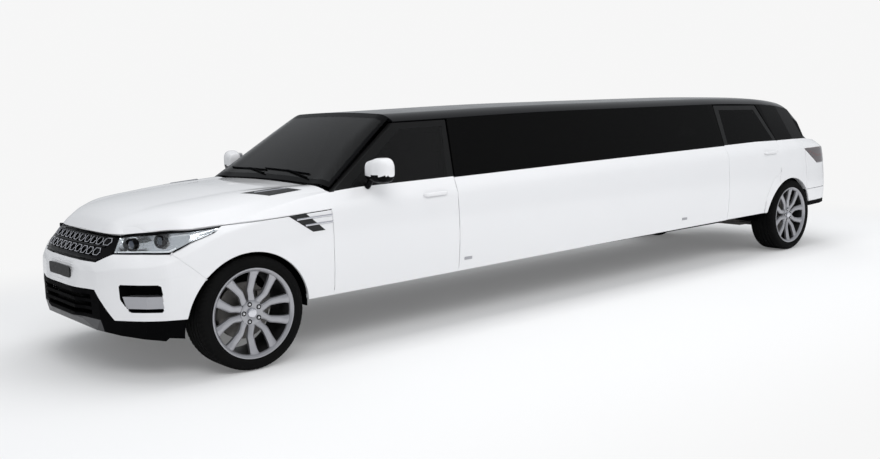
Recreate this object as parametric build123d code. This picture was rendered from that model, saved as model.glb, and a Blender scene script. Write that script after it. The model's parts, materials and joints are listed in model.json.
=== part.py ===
from build123d import *
import os
from functools import lru_cache
from math import cos, radians, sin

# Stretch limousine: millimetres, +X forward, +Y to the vehicle's left, +Z up.
# The origin is at the middle of the length and width, on the ground.

# ---------------------------------------------------------------- driving sizes
WHEELBASE = 6580
FRONT_OVERHANG = 889
REAR_OVERHANG = 1038
LENGTH = FRONT_OVERHANG + WHEELBASE + REAR_OVERHANG
X_FRONT = LENGTH / 2 - FRONT_OVERHANG
X_REAR = X_FRONT - WHEELBASE

# wheels and tyres
TYRE_RADIUS = 378
TYRE_WIDTH = 278
RIM_FLANGE_RADIUS = 297
RIM_WIDTH = 264
RIM_FLANGE_WIDTH = 12
BARREL_RADIUS = 276
BARREL_WALL = 12
WHEEL_CENTRE_Y = 845
HUB_Z = TYRE_RADIUS
KINGPIN_Y = 760
HUB_FACE_OFFSET = 100
HUB_RADIUS = 84
SPOKE_PAIRS = 5
SPOKE_TURN = 18

# brakes and knuckles
DISC_RADIUS = 188
DISC_THICKNESS = 32
DISC_Y = 818
SPINDLE_RADIUS = 38
UPRIGHT_HALF_HEIGHT = 130
UPRIGHT_SIZE = 64

# running clearances
SHUT_GAP = 10
FRAME_GAP = 16
SEAT_GAP = 0.3

# body walls
DOOR_THICKNESS = 50
PANEL_THICKNESS = 50
WING_THICKNESS = 6
ROOF_THICKNESS = 30
FRAME_THICKNESS = 24
GLASS_THICKNESS = 6
BUMPER_THICKNESS = 30
REAR_BUMPER_THICKNESS = 40
BONNET_THICKNESS = 22
LAMP_DEPTH = 90
TAILGATE_THICKNESS = 45

# wheel arches, seen from the side
ARCH_RADIUS = 437
ARCH_CENTRE_Z = 343
LINER_WALL = 6
LINER_CLEARANCE = 22
LINER_INNER_Y = 500
LINER_OUTER_Y = 925
REAR_LINER_INNER_Y = 600

# floor and chassis
FLOOR_Z = 430
FLOOR_THICKNESS = 15
LOAD_FLOOR_Z = 600
CABIN_FLOOR = FLOOR_Z + FLOOR_THICKNESS
FLOOR_HALF_WIDTH = 868
FIREWALL_AFT = 545
STEP_AHEAD = 570
RAIL_Y = 425
RAIL_WIDTH = 90
RAIL_HEIGHT = 120
CROSS_MEMBERS = 6
CROSS_WIDTH = 110
CROSS_HEIGHT = 30

# doors, given as distances behind the front axle or ahead of the rear axle
FRONT_DOOR_START = 640
FRONT_DOOR_END = 1790
REAR_DOOR_START = 1177
REAR_DOOR_END = 205
DOOR_BOTTOM = 446
DOOR_INNER_Y = 845
HINGE_SET_BACK = 90
HINGE_Y = 950
HINGE_HEIGHTS = (640, 840)
HINGE_PIN_RADIUS = 6
HINGE_ARM_HALF = 7
HINGE_ARM_HEIGHT = 40
HINGE_NOTCH_MARGIN = 12
HINGE_NOTCH_HEIGHT = 60
HINGE_GRIP = 12
HINGE_LINK_Y = 828
HINGE_POST_Y = 905
POST_SET_BACK = 22
PILLAR_LEAN = 100
PILLAR_WIDTH = 80
WINDOW_BORDER = 62

# bonnet and tailgate
BONNET_REAR = 626
WINDSCREEN_FOOT = 706
BONNET_END = 662
BONNET_AXIS_BACK = 648
BONNET_AXIS_Z = 1108
LID_PIN_RADIUS = 5
LID_EAR = 16
TAILGATE_AXIS_BACK = 450
TAILGATE_AXIS_Z = 1598
TAILGATE_LIP = 5
ROOF_END_AHEAD = 20
TAILGATE_HALF_WIDTH = 700
TAILGATE_BOTTOM = 640

# Body cross-sections. Each row is one upright section of the left half, at a distance
# behind the front axle (F) or the rear axle (R). Columns: axle, distance behind it,
# height of the underside, then half-width and height of the sill edge, the lower crease,
# the shoulder crease, the belt line, the roof rail and the roof edge, and the crown height.
SECTIONS = (
    ("F", -FRONT_OVERHANG, 395, 240, 415, 260, 490, 240, 550, 200, 575, 150, 590, 80, 597, 600),
    ("F", -855, 385, 330, 430, 370, 600, 330, 700, 270, 722, 190, 733, 100, 738, 740),
    ("F", -825, 325, 495, 400, 495, 640, 480, 705, 425, 742, 330, 762, 180, 774, 779),
    ("F", -740, 300, 655, 400, 662, 650, 645, 730, 540, 817, 430, 855, 250, 876, 882),
    ("F", -640, 280, 785, 400, 800, 668, 775, 740, 508, 921, 465, 952, 330, 992, 1010),
    ("F", -520, 260, 875, 400, 905, 676, 880, 760, 662, 940, 590, 990, 400, 1042, 1066),
    ("F", -350, 237, 935, 400, 955, 684, 935, 840, 852, 957, 740, 1022, 420, 1078, 1097),
    ("F", -150, 237, 948, 400, 975, 684, 955, 920, 893, 967, 770, 1045, 440, 1100, 1120),
    ("F", 200, 392, 955, 401, 984, 688, 962, 980, 912, 1040, 790, 1085, 460, 1128, 1148),
    ("F", 700, 393, 950, 403, 975, 690, 962, 998, 908, 1110, 880, 1116, 600, 1140, 1152),
    ("F", 1380, 398, 950, 408, 975, 693, 962, 1008, 916, 1122, 712, 1562, 560, 1618, 1632),
    ("F", 3290, 415, 950, 425, 975, 702, 962, 1036, 918, 1152, 705, 1590, 560, 1648, 1668),
    ("R", -1180, 428, 950, 438, 975, 713, 962, 1063, 915, 1180, 700, 1592, 560, 1650, 1672),
    ("R", -200, 431, 950, 441, 978, 718, 958, 1077, 905, 1188, 690, 1570, 545, 1632, 1656),
    ("R", 150, 432, 952, 442, 978, 718, 950, 1082, 892, 1188, 670, 1545, 530, 1608, 1640),
    ("R", 450, 435, 945, 442, 962, 716, 925, 1085, 850, 1182, 640, 1505, 500, 1575, 1612),
    ("R", 720, 436, 915, 442, 935, 712, 895, 1085, 800, 1160, 770, 1185, 500, 1200, 1205),
    ("R", 850, 436, 880, 445, 890, 700, 850, 1070, 760, 1110, 700, 1125, 450, 1135, 1140),
    ("R", 950, 440, 790, 460, 800, 690, 760, 1040, 700, 1060, 600, 1070, 400, 1078, 1080),
    ("R", 1010, 470, 650, 490, 660, 680, 620, 960, 560, 980, 480, 990, 300, 995, 998),
    ("R", REAR_OVERHANG, 560, 520, 575, 530, 690, 490, 830, 440, 840, 380, 848, 200, 852, 855),
)
LINES = ("sill", "low", "shoulder", "belt", "rail", "edge")
UNDERSIDE_INSET = 60

# Envelope: rows that close the skin at the nose and the tail, and how far the skin runs on below
NOSE_ROWS = 5
TAIL_ROWS = 4
OPEN_FOOT = 250
FAR = LENGTH
SIDE_INNER = 560
GLASS_RISE = 12

# Bonnet edge seen from the side, as (distance behind the front axle, height), and its hinges
BONNET_EDGE = ((-FRONT_OVERHANG - 10, 921), (-650, 922), (-450, 950), (-165, 965), (BONNET_REAR, 997))
BONNET_HINGE_Y = 300

# Head lamps, grille and front bumper
LAMP_INNER_TOP = 504
LAMP_INNER_LOW = 554
LAMP_BOTTOM = 815
LAMP_EDGE = ((-235, 922), (-380, 874), (-486, LAMP_BOTTOM))
GRILLE_BOTTOM = 762
GRILLE_BOTTOM_HALF = 445
GRILLE_ROWS = (810, 872)
GRILLE_DEPTH = 40
GRILLE_CELLS = 10
GRILLE_PITCH = 78
LOWER_GRILLE_TOP = 587
LOWER_GRILLE_HALF_TOP = 460
LOWER_GRILLE_HALF_FOOT = 602
BUMPER_LOW = 400
SKID_FOOT, SKID_HALF_FOOT, SKID_HALF_TOP = 270, 480, 500
FOG_INNER, FOG_OUTER = 645, 868
FOG_BOTTOM, FOG_TOP = 460, 630

# Sills, rear bumper, roof rails, cowl and posts
SILL_TOP = DOOR_BOTTOM - SHUT_GAP
REAR_BUMPER_TOP = 630
CANT_DROP, CANT_RISE, CANT_DEPTH = 45, 30, 45
COWL_WALL = 8
COWL_TRAY_Z = 1050
COWL_HALF_WIDTH = 780
PILLAR_DEPTH = 45
HINGE_POST_TOP = 960

# Mirrors and the tailgate's hinges
MIRROR_LOW, MIRROR_HIGH = 1148, 1328
TAILGATE_HINGE_Y = 32
TAILGATE_NOTCH = 6

# Front suspension and hubs
FRONT_RAIL_Z = 470
STRUT_X = X_FRONT - 60
STRUT_Y = 560
STRUT_RADIUS = 34
TOWER_Z = ARCH_CENTRE_Z + ARCH_RADIUS + LINER_CLEARANCE + LINER_WALL + SEAT_GAP
ARM_THICKNESS = 20
LOWER_ARM_Z = HUB_Z - UPRIGHT_HALF_HEIGHT - ARM_THICKNESS - SEAT_GAP
UPPER_ARM_Z = HUB_Z + UPRIGHT_HALF_HEIGHT + SEAT_GAP
SUBFRAME_Y = 400
SUBFRAME_HALF_LENGTH = 200
SUBFRAME_LOW, SUBFRAME_HIGH = 225, 400
HUB_SEAT_Y = WHEEL_CENTRE_Y + HUB_FACE_OFFSET - 55

# Engine, gearbox, propeller shaft and exhaust
GEARBOX_END = 980
GEARBOX_HALF_WIDTH = 150
PROP_RADIUS = 36
PROP_Z = 352
EXHAUST_Y, EXHAUST_Z, EXHAUST_RADIUS = 235, 340, 32
SILENCER_HALF = (300, 110, 55)

# Driver's place and lounge
DRIVER_Y = 400
LOUNGE_START, LOUNGE_END = 2500, 640

# One leg of a spoke pair, as boxes across the wheel's radius. Columns: share of the flange
# radius, sideways offset as a share of it, width, offsets of the inner and outer faces.
SPOKE_LEG = (
    (0.24, 0.065, 42, 54, 96),
    (0.47, 0.190, 40, 66, 108),
    (0.925, 0.250, 46, 80, 122),
)


def station_x(row):
    """Place along X of one row of SECTIONS."""
    return (X_FRONT if row[0] == "F" else X_REAR) - row[1]


def half_section(row):
    """Left half of one section as (y, z), from the underside up to the crown."""
    points = [(0, row[2]), (row[3] - UNDERSIDE_INSET, row[2])]
    points += [(row[3 + 2 * i], row[4 + 2 * i]) for i in range(len(LINES))]
    return points + [(0, row[15])]


def inset(points, wall):
    """The half section drawn in by a wall thickness at the sides, the foot and the crown."""
    width = max(y for y, z in points)
    low, high = points[0][1], points[-1][1]
    middle, half = (low + high) / 2, (high - low) / 2
    return [(y * (width - wall) / width, middle + (z - middle) * (half - wall) / half) for y, z in points]


@lru_cache
def envelope(wall=0):
    """Closed solid of the body's outer shape, moved inwards by a wall thickness."""
    rings = []
    for i, row in enumerate(SECTIONS):
        x = station_x(row)
        half = half_section(row)
        if wall:
            half = inset(half, wall)
            if i < NOSE_ROWS:
                x -= wall
            elif i >= len(SECTIONS) - TAIL_ROWS:
                x += wall
            else:
                half[0], half[1] = (0, half[0][1] - OPEN_FOOT), (half[1][0], half[1][1] - OPEN_FOOT)
        other = [(-y, z) for y, z in half[-2:0:-1]]
        rings.append(Wire.make_polygon([(x, y, z) for y, z in half + other]))
    return Solid.make_loft(rings, ruled=True)


def line_at(name, x):
    """Half-width and height of a named body line at a place along X."""
    i = 3 + 2 * LINES.index(name)
    for a, b in zip(SECTIONS, SECTIONS[1:]):
        xa, xb = station_x(a), station_x(b)
        if xb <= x <= xa:
            t = (xa - x) / (xa - xb)
            return a[i] + t * (b[i] - a[i]), a[i + 1] + t * (b[i + 1] - a[i + 1])
    raise ValueError("outside the body")


def side_line(name, x_ahead, x_behind, rise=0):
    """A body line seen from the side, as (x, z) from front to back."""
    places = [x_ahead]
    places += [x for x in map(station_x, SECTIONS) if x_behind < x < x_ahead]
    places += [x_behind]
    return [(x, line_at(name, x)[1] + rise) for x in places]


# ---------------------------------------------------------------- plain solids
def side_prism(outline, y0, y1):
    """Outline of (x, z) points swept from y0 to y1."""
    face = Face(Wire.make_polygon([(x, y0, z) for x, z in outline]))
    return Solid.extrude(face, Vector(0, y1 - y0, 0))


def plan_prism(outline, z0, z1):
    """Outline of (x, y) points swept from z0 to z1."""
    face = Face(Wire.make_polygon([(x, y, z0) for x, y in outline]))
    return Solid.extrude(face, Vector(0, 0, z1 - z0))


def front_prism(outline, x0, x1):
    """Outline of (y, z) points swept from x0 to x1."""
    face = Face(Wire.make_polygon([(x0, y, z) for y, z in outline]))
    return Solid.extrude(face, Vector(x1 - x0, 0, 0))


def block(x0, x1, y0, y1, z0, z1):
    """Box between two corners."""
    return side_prism([(x0, z0), (x1, z0), (x1, z1), (x0, z1)], y0, y1)


def rod_y(x, z, radius, y0, y1):
    """Round bar along Y."""
    plane = Plane(origin=(x, y0, z), x_dir=(1, 0, 0), z_dir=(0, 1, 0))
    return Solid.make_cylinder(radius, y1 - y0, plane)


def rod_z(x, y, radius, z0, z1):
    """Round bar along Z."""
    return Solid.make_cylinder(radius, z1 - z0, Plane((x, y, z0)))


def rod_x(y, z, radius, x0, x1):
    """Round bar along X."""
    plane = Plane(origin=(x0, y, z), x_dir=(0, 1, 0), z_dir=(1, 0, 0))
    return Solid.make_cylinder(radius, x1 - x0, plane)


def fused(pieces):
    """One solid from several that meet."""
    first, *others = pieces
    return first.fuse(*others) if others else first


def right_of(shape):
    """The same piece on the vehicle's right."""
    return shape.mirror(Plane.XZ)


def pair(shape):
    """A left piece and its right twin, as one node."""
    return Compound([*shape.solids(), *right_of(shape).solids()])


def save(name, shape):
    """Write one sub-part."""
    solids = shape.solids()
    export_step(solids[0] if len(solids) == 1 else Compound(solids), f"parts/{name}.step")


# ---------------------------------------------------------------- shared outlines


def skin(region, wall, start=0):
    """What a region holds of the body's skin, from a start depth to a wall's depth."""
    return (region & envelope(start)) - envelope(wall)


def arches():
    """Both wheel arch openings of the left side."""
    return [rod_y(x, ARCH_CENTRE_Z, ARCH_RADIUS, SIDE_INNER, FAR) for x in (X_FRONT, X_REAR)]


def wheelhouses():
    """The drums that the arch liners and what is inside them take up on the left."""
    reach = ARCH_RADIUS + LINER_CLEARANCE + LINER_WALL
    return [rod_y(x, ARCH_CENTRE_Z, reach, LINER_INNER_Y, LINER_OUTER_Y) for x in (X_FRONT, X_REAR)]


def behind_front(distance):
    return X_FRONT - distance


def ahead_of_rear(distance):
    return X_REAR + distance


def front_door_outline(grow=0, frame_grow=0):
    """Front door from the side. The edges move out by grow, the window frame's by frame_grow."""
    x0 = behind_front(FRONT_DOOR_START) + grow
    x1 = behind_front(FRONT_DOOR_END) - grow
    top = behind_front(FRONT_DOOR_END + PILLAR_LEAN)
    lower = [(x0, DOOR_BOTTOM - grow), (x1, DOOR_BOTTOM - grow)]
    rear = [(x1, line_at("belt", x1)[1]), (top - frame_grow, line_at("rail", top)[1] - SHUT_GAP + grow)]
    windscreen_side = side_line("rail", behind_front(700), top, grow - SHUT_GAP)
    front = [(x0, windscreen_side[0][1])]
    return lower + rear + windscreen_side[::-1][1:] + front


def rear_door_outline(grow=0, frame_grow=0):
    """Rear door from the side, cut back around the rear arch."""
    x0 = ahead_of_rear(REAR_DOOR_START) + grow
    x1 = ahead_of_rear(REAR_DOOR_END) - grow
    top = ahead_of_rear(REAR_DOOR_END + PILLAR_LEAN) - frame_grow
    low = ahead_of_rear(ARCH_RADIUS + 45) - grow
    mid = ahead_of_rear(ARCH_RADIUS - 60) - grow
    lower = [(x0, DOOR_BOTTOM - grow), (low, DOOR_BOTTOM - grow), (low, 600)]
    arch = [(mid, 770 - grow), (x1, 860 - grow), (x1, line_at("belt", x1)[1])]
    return lower + arch + side_line("rail", x0 + frame_grow - PILLAR_LEAN, top, grow - SHUT_GAP)[::-1] \
        + [(x0, line_at("belt", x0)[1])]


def window_outline(x_front_low, x_rear_low, x_front_top, x_rear_top, drop):
    """Glass opening between the belt and the rail, inside a door's frame."""
    low = side_line("belt", x_front_low, x_rear_low, GLASS_RISE)
    high = side_line("rail", x_front_top, x_rear_top, -drop)
    return low + high[::-1]


# ---------------------------------------------------------------- body panels
def bonnet_region(grow=0):
    """Side outline of everything above the bonnet's lower edge."""
    edge = [(behind_front(d), z - grow) for d, z in BONNET_EDGE]
    back = edge[-1][0] - grow
    edge[-1] = (back, edge[-1][1])
    return edge + [(back, 1112), (behind_front(BONNET_END), 1145), (behind_front(BONNET_END), 1400),
                   (edge[0][0], 1400)]


def bonnet():
    """Clamshell bonnet with its two hinge ears."""
    lid = skin(side_prism(bonnet_region(), -FAR, FAR), BONNET_THICKNESS)
    x, half = behind_front(BONNET_AXIS_BACK), LID_EAR / 2
    ear = block(x - half, x + half, BONNET_HINGE_Y + LID_EAR + 6, BONNET_HINGE_Y + 2 * LID_EAR + 6,
                BONNET_AXIS_Z - half, BONNET_AXIS_Z + 20)
    lid = lid.fuse(ear, right_of(ear))
    y0, y1 = BONNET_HINGE_Y + LID_EAR + 5, BONNET_HINGE_Y + 2 * LID_EAR + 7
    bore = rod_y(x, BONNET_AXIS_Z, LID_PIN_RADIUS + SEAT_GAP, y0, y1)
    return biggest(lid.cut(bore, right_of(bore)))


def head_lamp():
    """Left lamp: a wedge that runs back along the bonnet edge to a point."""
    top = [(behind_front(d), z - SHUT_GAP) for d, z in BONNET_EDGE[:4]]
    low = [(behind_front(d), z) for d, z in LAMP_EDGE] + [(behind_front(-FRONT_OVERHANG - 10), LAMP_BOTTOM)]
    body = skin(side_prism(top + low, 400, FAR), LAMP_DEPTH)
    return body & front_prism([(LAMP_INNER_TOP, 1000), (LAMP_INNER_LOW, LAMP_BOTTOM), (FAR, LAMP_BOTTOM),
                               (FAR, 1000)], X_FRONT, X_FRONT + FRONT_OVERHANG)


def grille():
    """Upper grille: a deep panel with two rows of openings, between the lamps."""
    top = BONNET_EDGE[0][1] - SHUT_GAP
    outline = [(-LAMP_INNER_TOP + 3, top), (-LAMP_INNER_LOW + 3, LAMP_BOTTOM),
               (-GRILLE_BOTTOM_HALF, GRILLE_BOTTOM), (GRILLE_BOTTOM_HALF, GRILLE_BOTTOM),
               (LAMP_INNER_LOW - 3, LAMP_BOTTOM), (LAMP_INNER_TOP - 3, top)]
    panel = skin(front_prism(outline, X_FRONT + 600, X_FRONT + 1000), GRILLE_DEPTH)
    panel = panel & side_prism([(behind_front(-600), GRILLE_BOTTOM), (behind_front(-1000), GRILLE_BOTTOM),
                                (behind_front(-1000), top), (behind_front(-700), top - 8),
                                (behind_front(-600), top - 8)], -FAR, FAR)
    cells = []
    for row_z in GRILLE_ROWS:
        for i in range(GRILLE_CELLS):
            y = (i - (GRILLE_CELLS - 1) / 2) * GRILLE_PITCH
            cells.append(block(X_FRONT + 600, X_FRONT + 1000, y - 30, y + 30, row_z - 19, row_z + 19))
    return panel.cut(*cells)


def lower_opening(grow=0):
    """Front outline of the dark lower intake, wider at its foot."""
    low, top = LOWER_GRILLE_HALF_FOOT + grow, LOWER_GRILLE_HALF_TOP + grow
    return [(-low, BUMPER_LOW - 5), (-top, LOWER_GRILLE_TOP + grow), (top, LOWER_GRILLE_TOP + grow),
            (low, BUMPER_LOW - 5)]


def nose_space(z0, z1):
    """Everything ahead of the front arches between two heights."""
    return block(X_FRONT - 5, X_FRONT + FRONT_OVERHANG + 5, -FAR, FAR, z0, z1)


def front_bumper():
    """Painted bumper from the lamps down, round to both arches, open for the intake."""
    face = skin(nose_space(BUMPER_LOW, 960), BUMPER_THICKNESS)
    face = face - side_prism(wing_outline(), -FAR, FAR)
    lamp_space = front_prism([(-FAR, LAMP_BOTTOM), (-LAMP_INNER_LOW, LAMP_BOTTOM),
                              (-GRILLE_BOTTOM_HALF, GRILLE_BOTTOM), (GRILLE_BOTTOM_HALF, GRILLE_BOTTOM),
                              (LAMP_INNER_LOW, LAMP_BOTTOM), (FAR, LAMP_BOTTOM), (FAR, 1000),
                              (-FAR, 1000)], X_FRONT, FAR)
    face = face - lamp_space - front_prism(lower_opening(), X_FRONT, FAR)
    for arch in arches():
        face = face - arch - right_of(arch)
    for slot in fog_recesses():
        face = face - slot
    return biggest(face)


def biggest(shape):
    """The largest solid of a cut shape."""
    return max(shape.solids(), key=lambda solid: solid.volume)


def fog_recesses(inset_by=0):
    """Openings of the bumper's corner ducts, left and right."""
    duct = front_prism([(FOG_INNER + 40 + inset_by, FOG_BOTTOM + inset_by),
                        (FOG_OUTER - inset_by, FOG_BOTTOM + inset_by),
                        (FOG_OUTER - inset_by, FOG_TOP - inset_by),
                        (FOG_INNER + inset_by, FOG_TOP - inset_by)], X_FRONT + 480, FAR)
    return duct, right_of(duct)


def fog_lamp():
    """Left corner lamp: a bar across the duct with a dark slot above and below."""
    body = skin(fog_recesses()[0], LAMP_DEPTH)
    return body & block(X_FRONT, FAR, 0, FAR, FOG_BOTTOM + 22, FOG_BOTTOM + 98)


def lower_bumper():
    """Dark lower bumper: the intake's surround, its panel and the foot round to the arches."""
    low = skin(nose_space(200, BUMPER_LOW), BUMPER_THICKNESS)
    intake = skin(front_prism(lower_opening(), X_FRONT + 500, FAR), BUMPER_THICKNESS)
    for row_z in (440, 490, 540):
        intake = intake - block(0, FAR, -410, 410, row_z - 15, row_z + 15)
    for arch in arches():
        low = low - arch - right_of(arch)
    return biggest(low.fuse(intake) - front_prism(skid_outline(), X_FRONT + 500, FAR))


def skid_outline(grow=0):
    """Front outline of the bright skid plate."""
    low, top = SKID_HALF_FOOT + grow, SKID_HALF_TOP + grow
    return [(-low, SKID_FOOT), (-top, BUMPER_LOW + grow), (top, BUMPER_LOW + grow), (low, SKID_FOOT)]


def skid_plate():
    return biggest(skin(front_prism(skid_outline(), X_FRONT + 600, FAR), BUMPER_THICKNESS))


def wing_outline(gap=0):
    """Front wing from the side: over the arch and back to the door, below the bonnet."""
    x_back = behind_front(FRONT_DOOR_START) + SHUT_GAP
    top = [(behind_front(d), z - SHUT_GAP) for d, z in BONNET_EDGE[3:]]
    top[-1] = (x_back, top[-1][1])
    lamp = [(behind_front(d), z) for d, z in LAMP_EDGE]
    return lamp[::-1] + top + [(x_back, SILL_TOP), (X_FRONT, SILL_TOP), (X_FRONT, 600),
                               (behind_front(-300), 640), (behind_front(-440), 765)]


def wing():
    """Left wing: a thin panel with the arch cut in it."""
    panel = skin(side_prism(wing_outline(), SIDE_INNER, FAR), WING_THICKNESS)
    return biggest(panel.cut(*arches()))


def belt_top(x_ahead, x_behind):
    """Side outline from the sill line up to the belt."""
    return side_line("belt", x_ahead, x_behind) + [(x_behind, SILL_TOP), (x_ahead, SILL_TOP)]


def stretch_panel():
    """Left panel between the doors, from the sill to the glass."""
    x0 = behind_front(FRONT_DOOR_END) - SHUT_GAP
    x1 = ahead_of_rear(REAR_DOOR_START) + SHUT_GAP
    return biggest(skin(side_prism(belt_top(x0, x1), SIDE_INNER, FAR), PANEL_THICKNESS))


def sill():
    """Left sill between the arches."""
    bar = block(X_REAR, X_FRONT, FLOOR_HALF_WIDTH, FAR, 300, SILL_TOP) & envelope()
    bar = bar.cut(*arches(), *wheelhouses())
    return biggest(bar)


def tail_lamp_outline():
    """Left rear lamp from the side."""
    return [(ahead_of_rear(-325), 1078), (ahead_of_rear(-600), 905), (ahead_of_rear(-1030), 905),
            (ahead_of_rear(-1030), 1078)]


def tail_lamp():
    region = side_prism(tail_lamp_outline(), TAILGATE_HALF_WIDTH + SHUT_GAP, FAR)
    return biggest(skin(region, PANEL_THICKNESS - 5))


def quarter_panel():
    """Left rear quarter: behind the door, over the arch and round the corner."""
    x_end = X_REAR - REAR_OVERHANG - 5
    region = side_prism(side_line("belt", ahead_of_rear(560), X_REAR - 1000)
                        + [(x_end, 1190), (x_end, REAR_BUMPER_TOP), (X_REAR - 300, REAR_BUMPER_TOP),
                           (X_REAR - 300, SILL_TOP), (ahead_of_rear(560), SILL_TOP)],
                        TAILGATE_HALF_WIDTH + SHUT_GAP, FAR)
    panel = skin(region, PANEL_THICKNESS)
    door = side_prism(rear_door_outline(SHUT_GAP, FRAME_GAP), 0, FAR)
    lamp = side_prism(tail_lamp_outline(), 0, FAR)
    panel = panel - door - lamp
    return biggest(panel.cut(*arches()))


def rear_bumper():
    """Rear bumper from arch to arch."""
    face = skin(block(-FAR, X_REAR - 300, -FAR, FAR, 300, REAR_BUMPER_TOP), REAR_BUMPER_THICKNESS)
    for arch in arches():
        face = face - arch - right_of(arch)
    return biggest(face)


def roof_panel():
    """Roof from the windscreen header to the tailgate, with the tailgate's hinge pins."""
    x_end = X_REAR - TAILGATE_AXIS_BACK
    x0, x1 = behind_front(1380), x_end + ROOF_END_AHEAD
    region = side_prism(side_line("rail", x0, x1) + [(x1, 1800), (x0, 1800)], -FAR, FAR)
    panel = skin(region, ROOF_THICKNESS)
    half = LID_EAR / 2
    arm = block(x_end - half, x1 + 20, TAILGATE_HINGE_Y, TAILGATE_HINGE_Y + LID_EAR,
                TAILGATE_AXIS_Z - half, TAILGATE_AXIS_Z + half)
    pin = rod_y(x_end, TAILGATE_AXIS_Z, LID_PIN_RADIUS, TAILGATE_HINGE_Y,
                TAILGATE_HINGE_Y + 2 * LID_EAR + TAILGATE_NOTCH)
    return biggest(panel.fuse(arm, pin, right_of(arm), right_of(pin)))


def windscreen_plan(shrink=0):
    x0, x1 = behind_front(WINDSCREEN_FOOT), behind_front(1380)
    return [(x0, -835 + shrink), (x1, -662 + shrink), (x1, 662 - shrink), (x0, 835 - shrink)]


def windscreen():
    return biggest(skin(plan_prism(windscreen_plan(), 1100, 1700), GLASS_THICKNESS))


def cant_rail():
    """Left windscreen pillar and roof side rail in one bar, from the cowl to the tail."""
    x0, x1, x2 = behind_front(WINDSCREEN_FOOT), behind_front(1380), X_REAR - TAILGATE_AXIS_BACK + TAILGATE_LIP
    low = [(x, max(z, line_at("belt", x)[1] + SHUT_GAP)) for x, z in side_line("rail", x0, x2, -CANT_DROP)]
    bar = side_prism(low + side_line("rail", x0, x2, CANT_RISE)[::-1], 400, FAR)
    bar = skin(bar, ROOF_THICKNESS + CANT_DEPTH, ROOF_THICKNESS)
    face = side_prism(side_line("rail", x0, x1) + [(x1, 1700), (x0, 1700)], 400, FAR)
    face = skin(face, ROOF_THICKNESS + CANT_DEPTH)
    return biggest(bar.fuse(face) - plan_prism(windscreen_plan(), 1000, 1800))


def cowl():
    """Panel under the windscreen's foot, its drip tray and the bonnet's hinge brackets."""
    x0, x1 = behind_front(WINDSCREEN_FOOT - COWL_WALL), behind_front(WINDSCREEN_FOOT)
    wall = skin(block(x1, x0, -COWL_HALF_WIDTH, COWL_HALF_WIDTH, COWL_TRAY_Z, 1300), 110)
    tray = block(x1, behind_front(FIREWALL_AFT) + 12, -COWL_HALF_WIDTH, COWL_HALF_WIDTH,
                 COWL_TRAY_Z, COWL_TRAY_Z + COWL_WALL)
    x, half, y = behind_front(BONNET_AXIS_BACK), LID_EAR / 2, BONNET_HINGE_Y
    bracket = block(x - half, x + half, y, y + LID_EAR, COWL_TRAY_Z, BONNET_AXIS_Z + half)
    pin = rod_y(x, BONNET_AXIS_Z, LID_PIN_RADIUS, y, y + 2.6 * LID_EAR)
    return fused([wall, tray, bracket, pin, right_of(bracket), right_of(pin)])


def side_window():
    """Left lounge window between the front and rear doors."""
    x0 = behind_front(FRONT_DOOR_END) - FRAME_GAP
    x1 = ahead_of_rear(REAR_DOOR_START) + SHUT_GAP
    low = side_line("belt", x0, x1)
    high = side_line("rail", x0 - PILLAR_LEAN - 6, x1 - PILLAR_LEAN)
    return biggest(skin(side_prism(low + high[::-1], SIDE_INNER, FAR), GLASS_THICKNESS))


def quarter_window():
    """Left glass behind the rear door, back to the tailgate."""
    x0 = ahead_of_rear(REAR_DOOR_END) - SHUT_GAP
    x1 = X_REAR - TAILGATE_AXIS_BACK + TAILGATE_LIP
    low = side_line("belt", x0, x1)
    high = side_line("rail", ahead_of_rear(REAR_DOOR_END + PILLAR_LEAN) - FRAME_GAP - 5, x1)
    return biggest(skin(side_prism(low + high[::-1], SIDE_INNER, FAR), GLASS_THICKNESS))


def pillar(x_low, x_top):
    """One left post inside the skin, from the floor to the roof rail."""
    outline = [(x_low, CABIN_FLOOR), (x_low - PILLAR_WIDTH, CABIN_FLOOR), (x_low - PILLAR_WIDTH, 1150),
               (x_top - PILLAR_WIDTH, 1720), (x_top, 1720), (x_low, 1150)]
    post = side_prism(outline, SIDE_INNER, FAR)
    low = skin(post & below_belt(), PANEL_THICKNESS + PILLAR_DEPTH, PANEL_THICKNESS)
    high = skin(post - below_belt(), PANEL_THICKNESS + PILLAR_DEPTH, ROOF_THICKNESS)
    x0, x1 = x_low + 600, X_REAR - 440
    above = side_prism(side_line("rail", x0, x1, -CANT_DROP) + [(x1, 2000), (x0, 2000)], 0, FAR)
    return biggest((low.fuse(high) - above).cut(*arches(), *wheelhouses()))


def below_belt():
    """Everything on the left below the belt line."""
    x0, x1 = X_FRONT + 100, X_REAR - 400
    return side_prism([(x0, 0), *side_line("belt", x0, x1), (x1, 0)], 0, FAR)


def hinge_x(front):
    """Place of a door's hinge axis along X."""
    edge = behind_front(FRONT_DOOR_START) if front else ahead_of_rear(REAR_DOOR_START)
    return edge - HINGE_SET_BACK


def hinges(front):
    """Goose-neck arms and pins that carry one left door: from its post inwards, back, and out to the pin."""
    x, half = hinge_x(front), HINGE_ARM_HALF
    post = x + HINGE_SET_BACK + POST_SET_BACK
    pieces = []
    for z in HINGE_HEIGHTS:
        low, high = z - HINGE_ARM_HEIGHT / 2, z + HINGE_ARM_HEIGHT / 2
        grip = HINGE_NOTCH_HEIGHT / 2 + HINGE_GRIP - 1
        pieces.append(block(x - half, x + half, HINGE_LINK_Y, HINGE_Y + half, low, high))
        pieces.append(block(x - half, post + 2 * half, HINGE_LINK_Y, HINGE_LINK_Y + 2 * half, low, high))
        pieces.append(block(post, post + 2 * half, HINGE_LINK_Y, HINGE_POST_Y, low, high))
        pieces.append(rod_z(x, HINGE_Y, HINGE_PIN_RADIUS, z - grip, z + grip))
    return pieces


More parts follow.
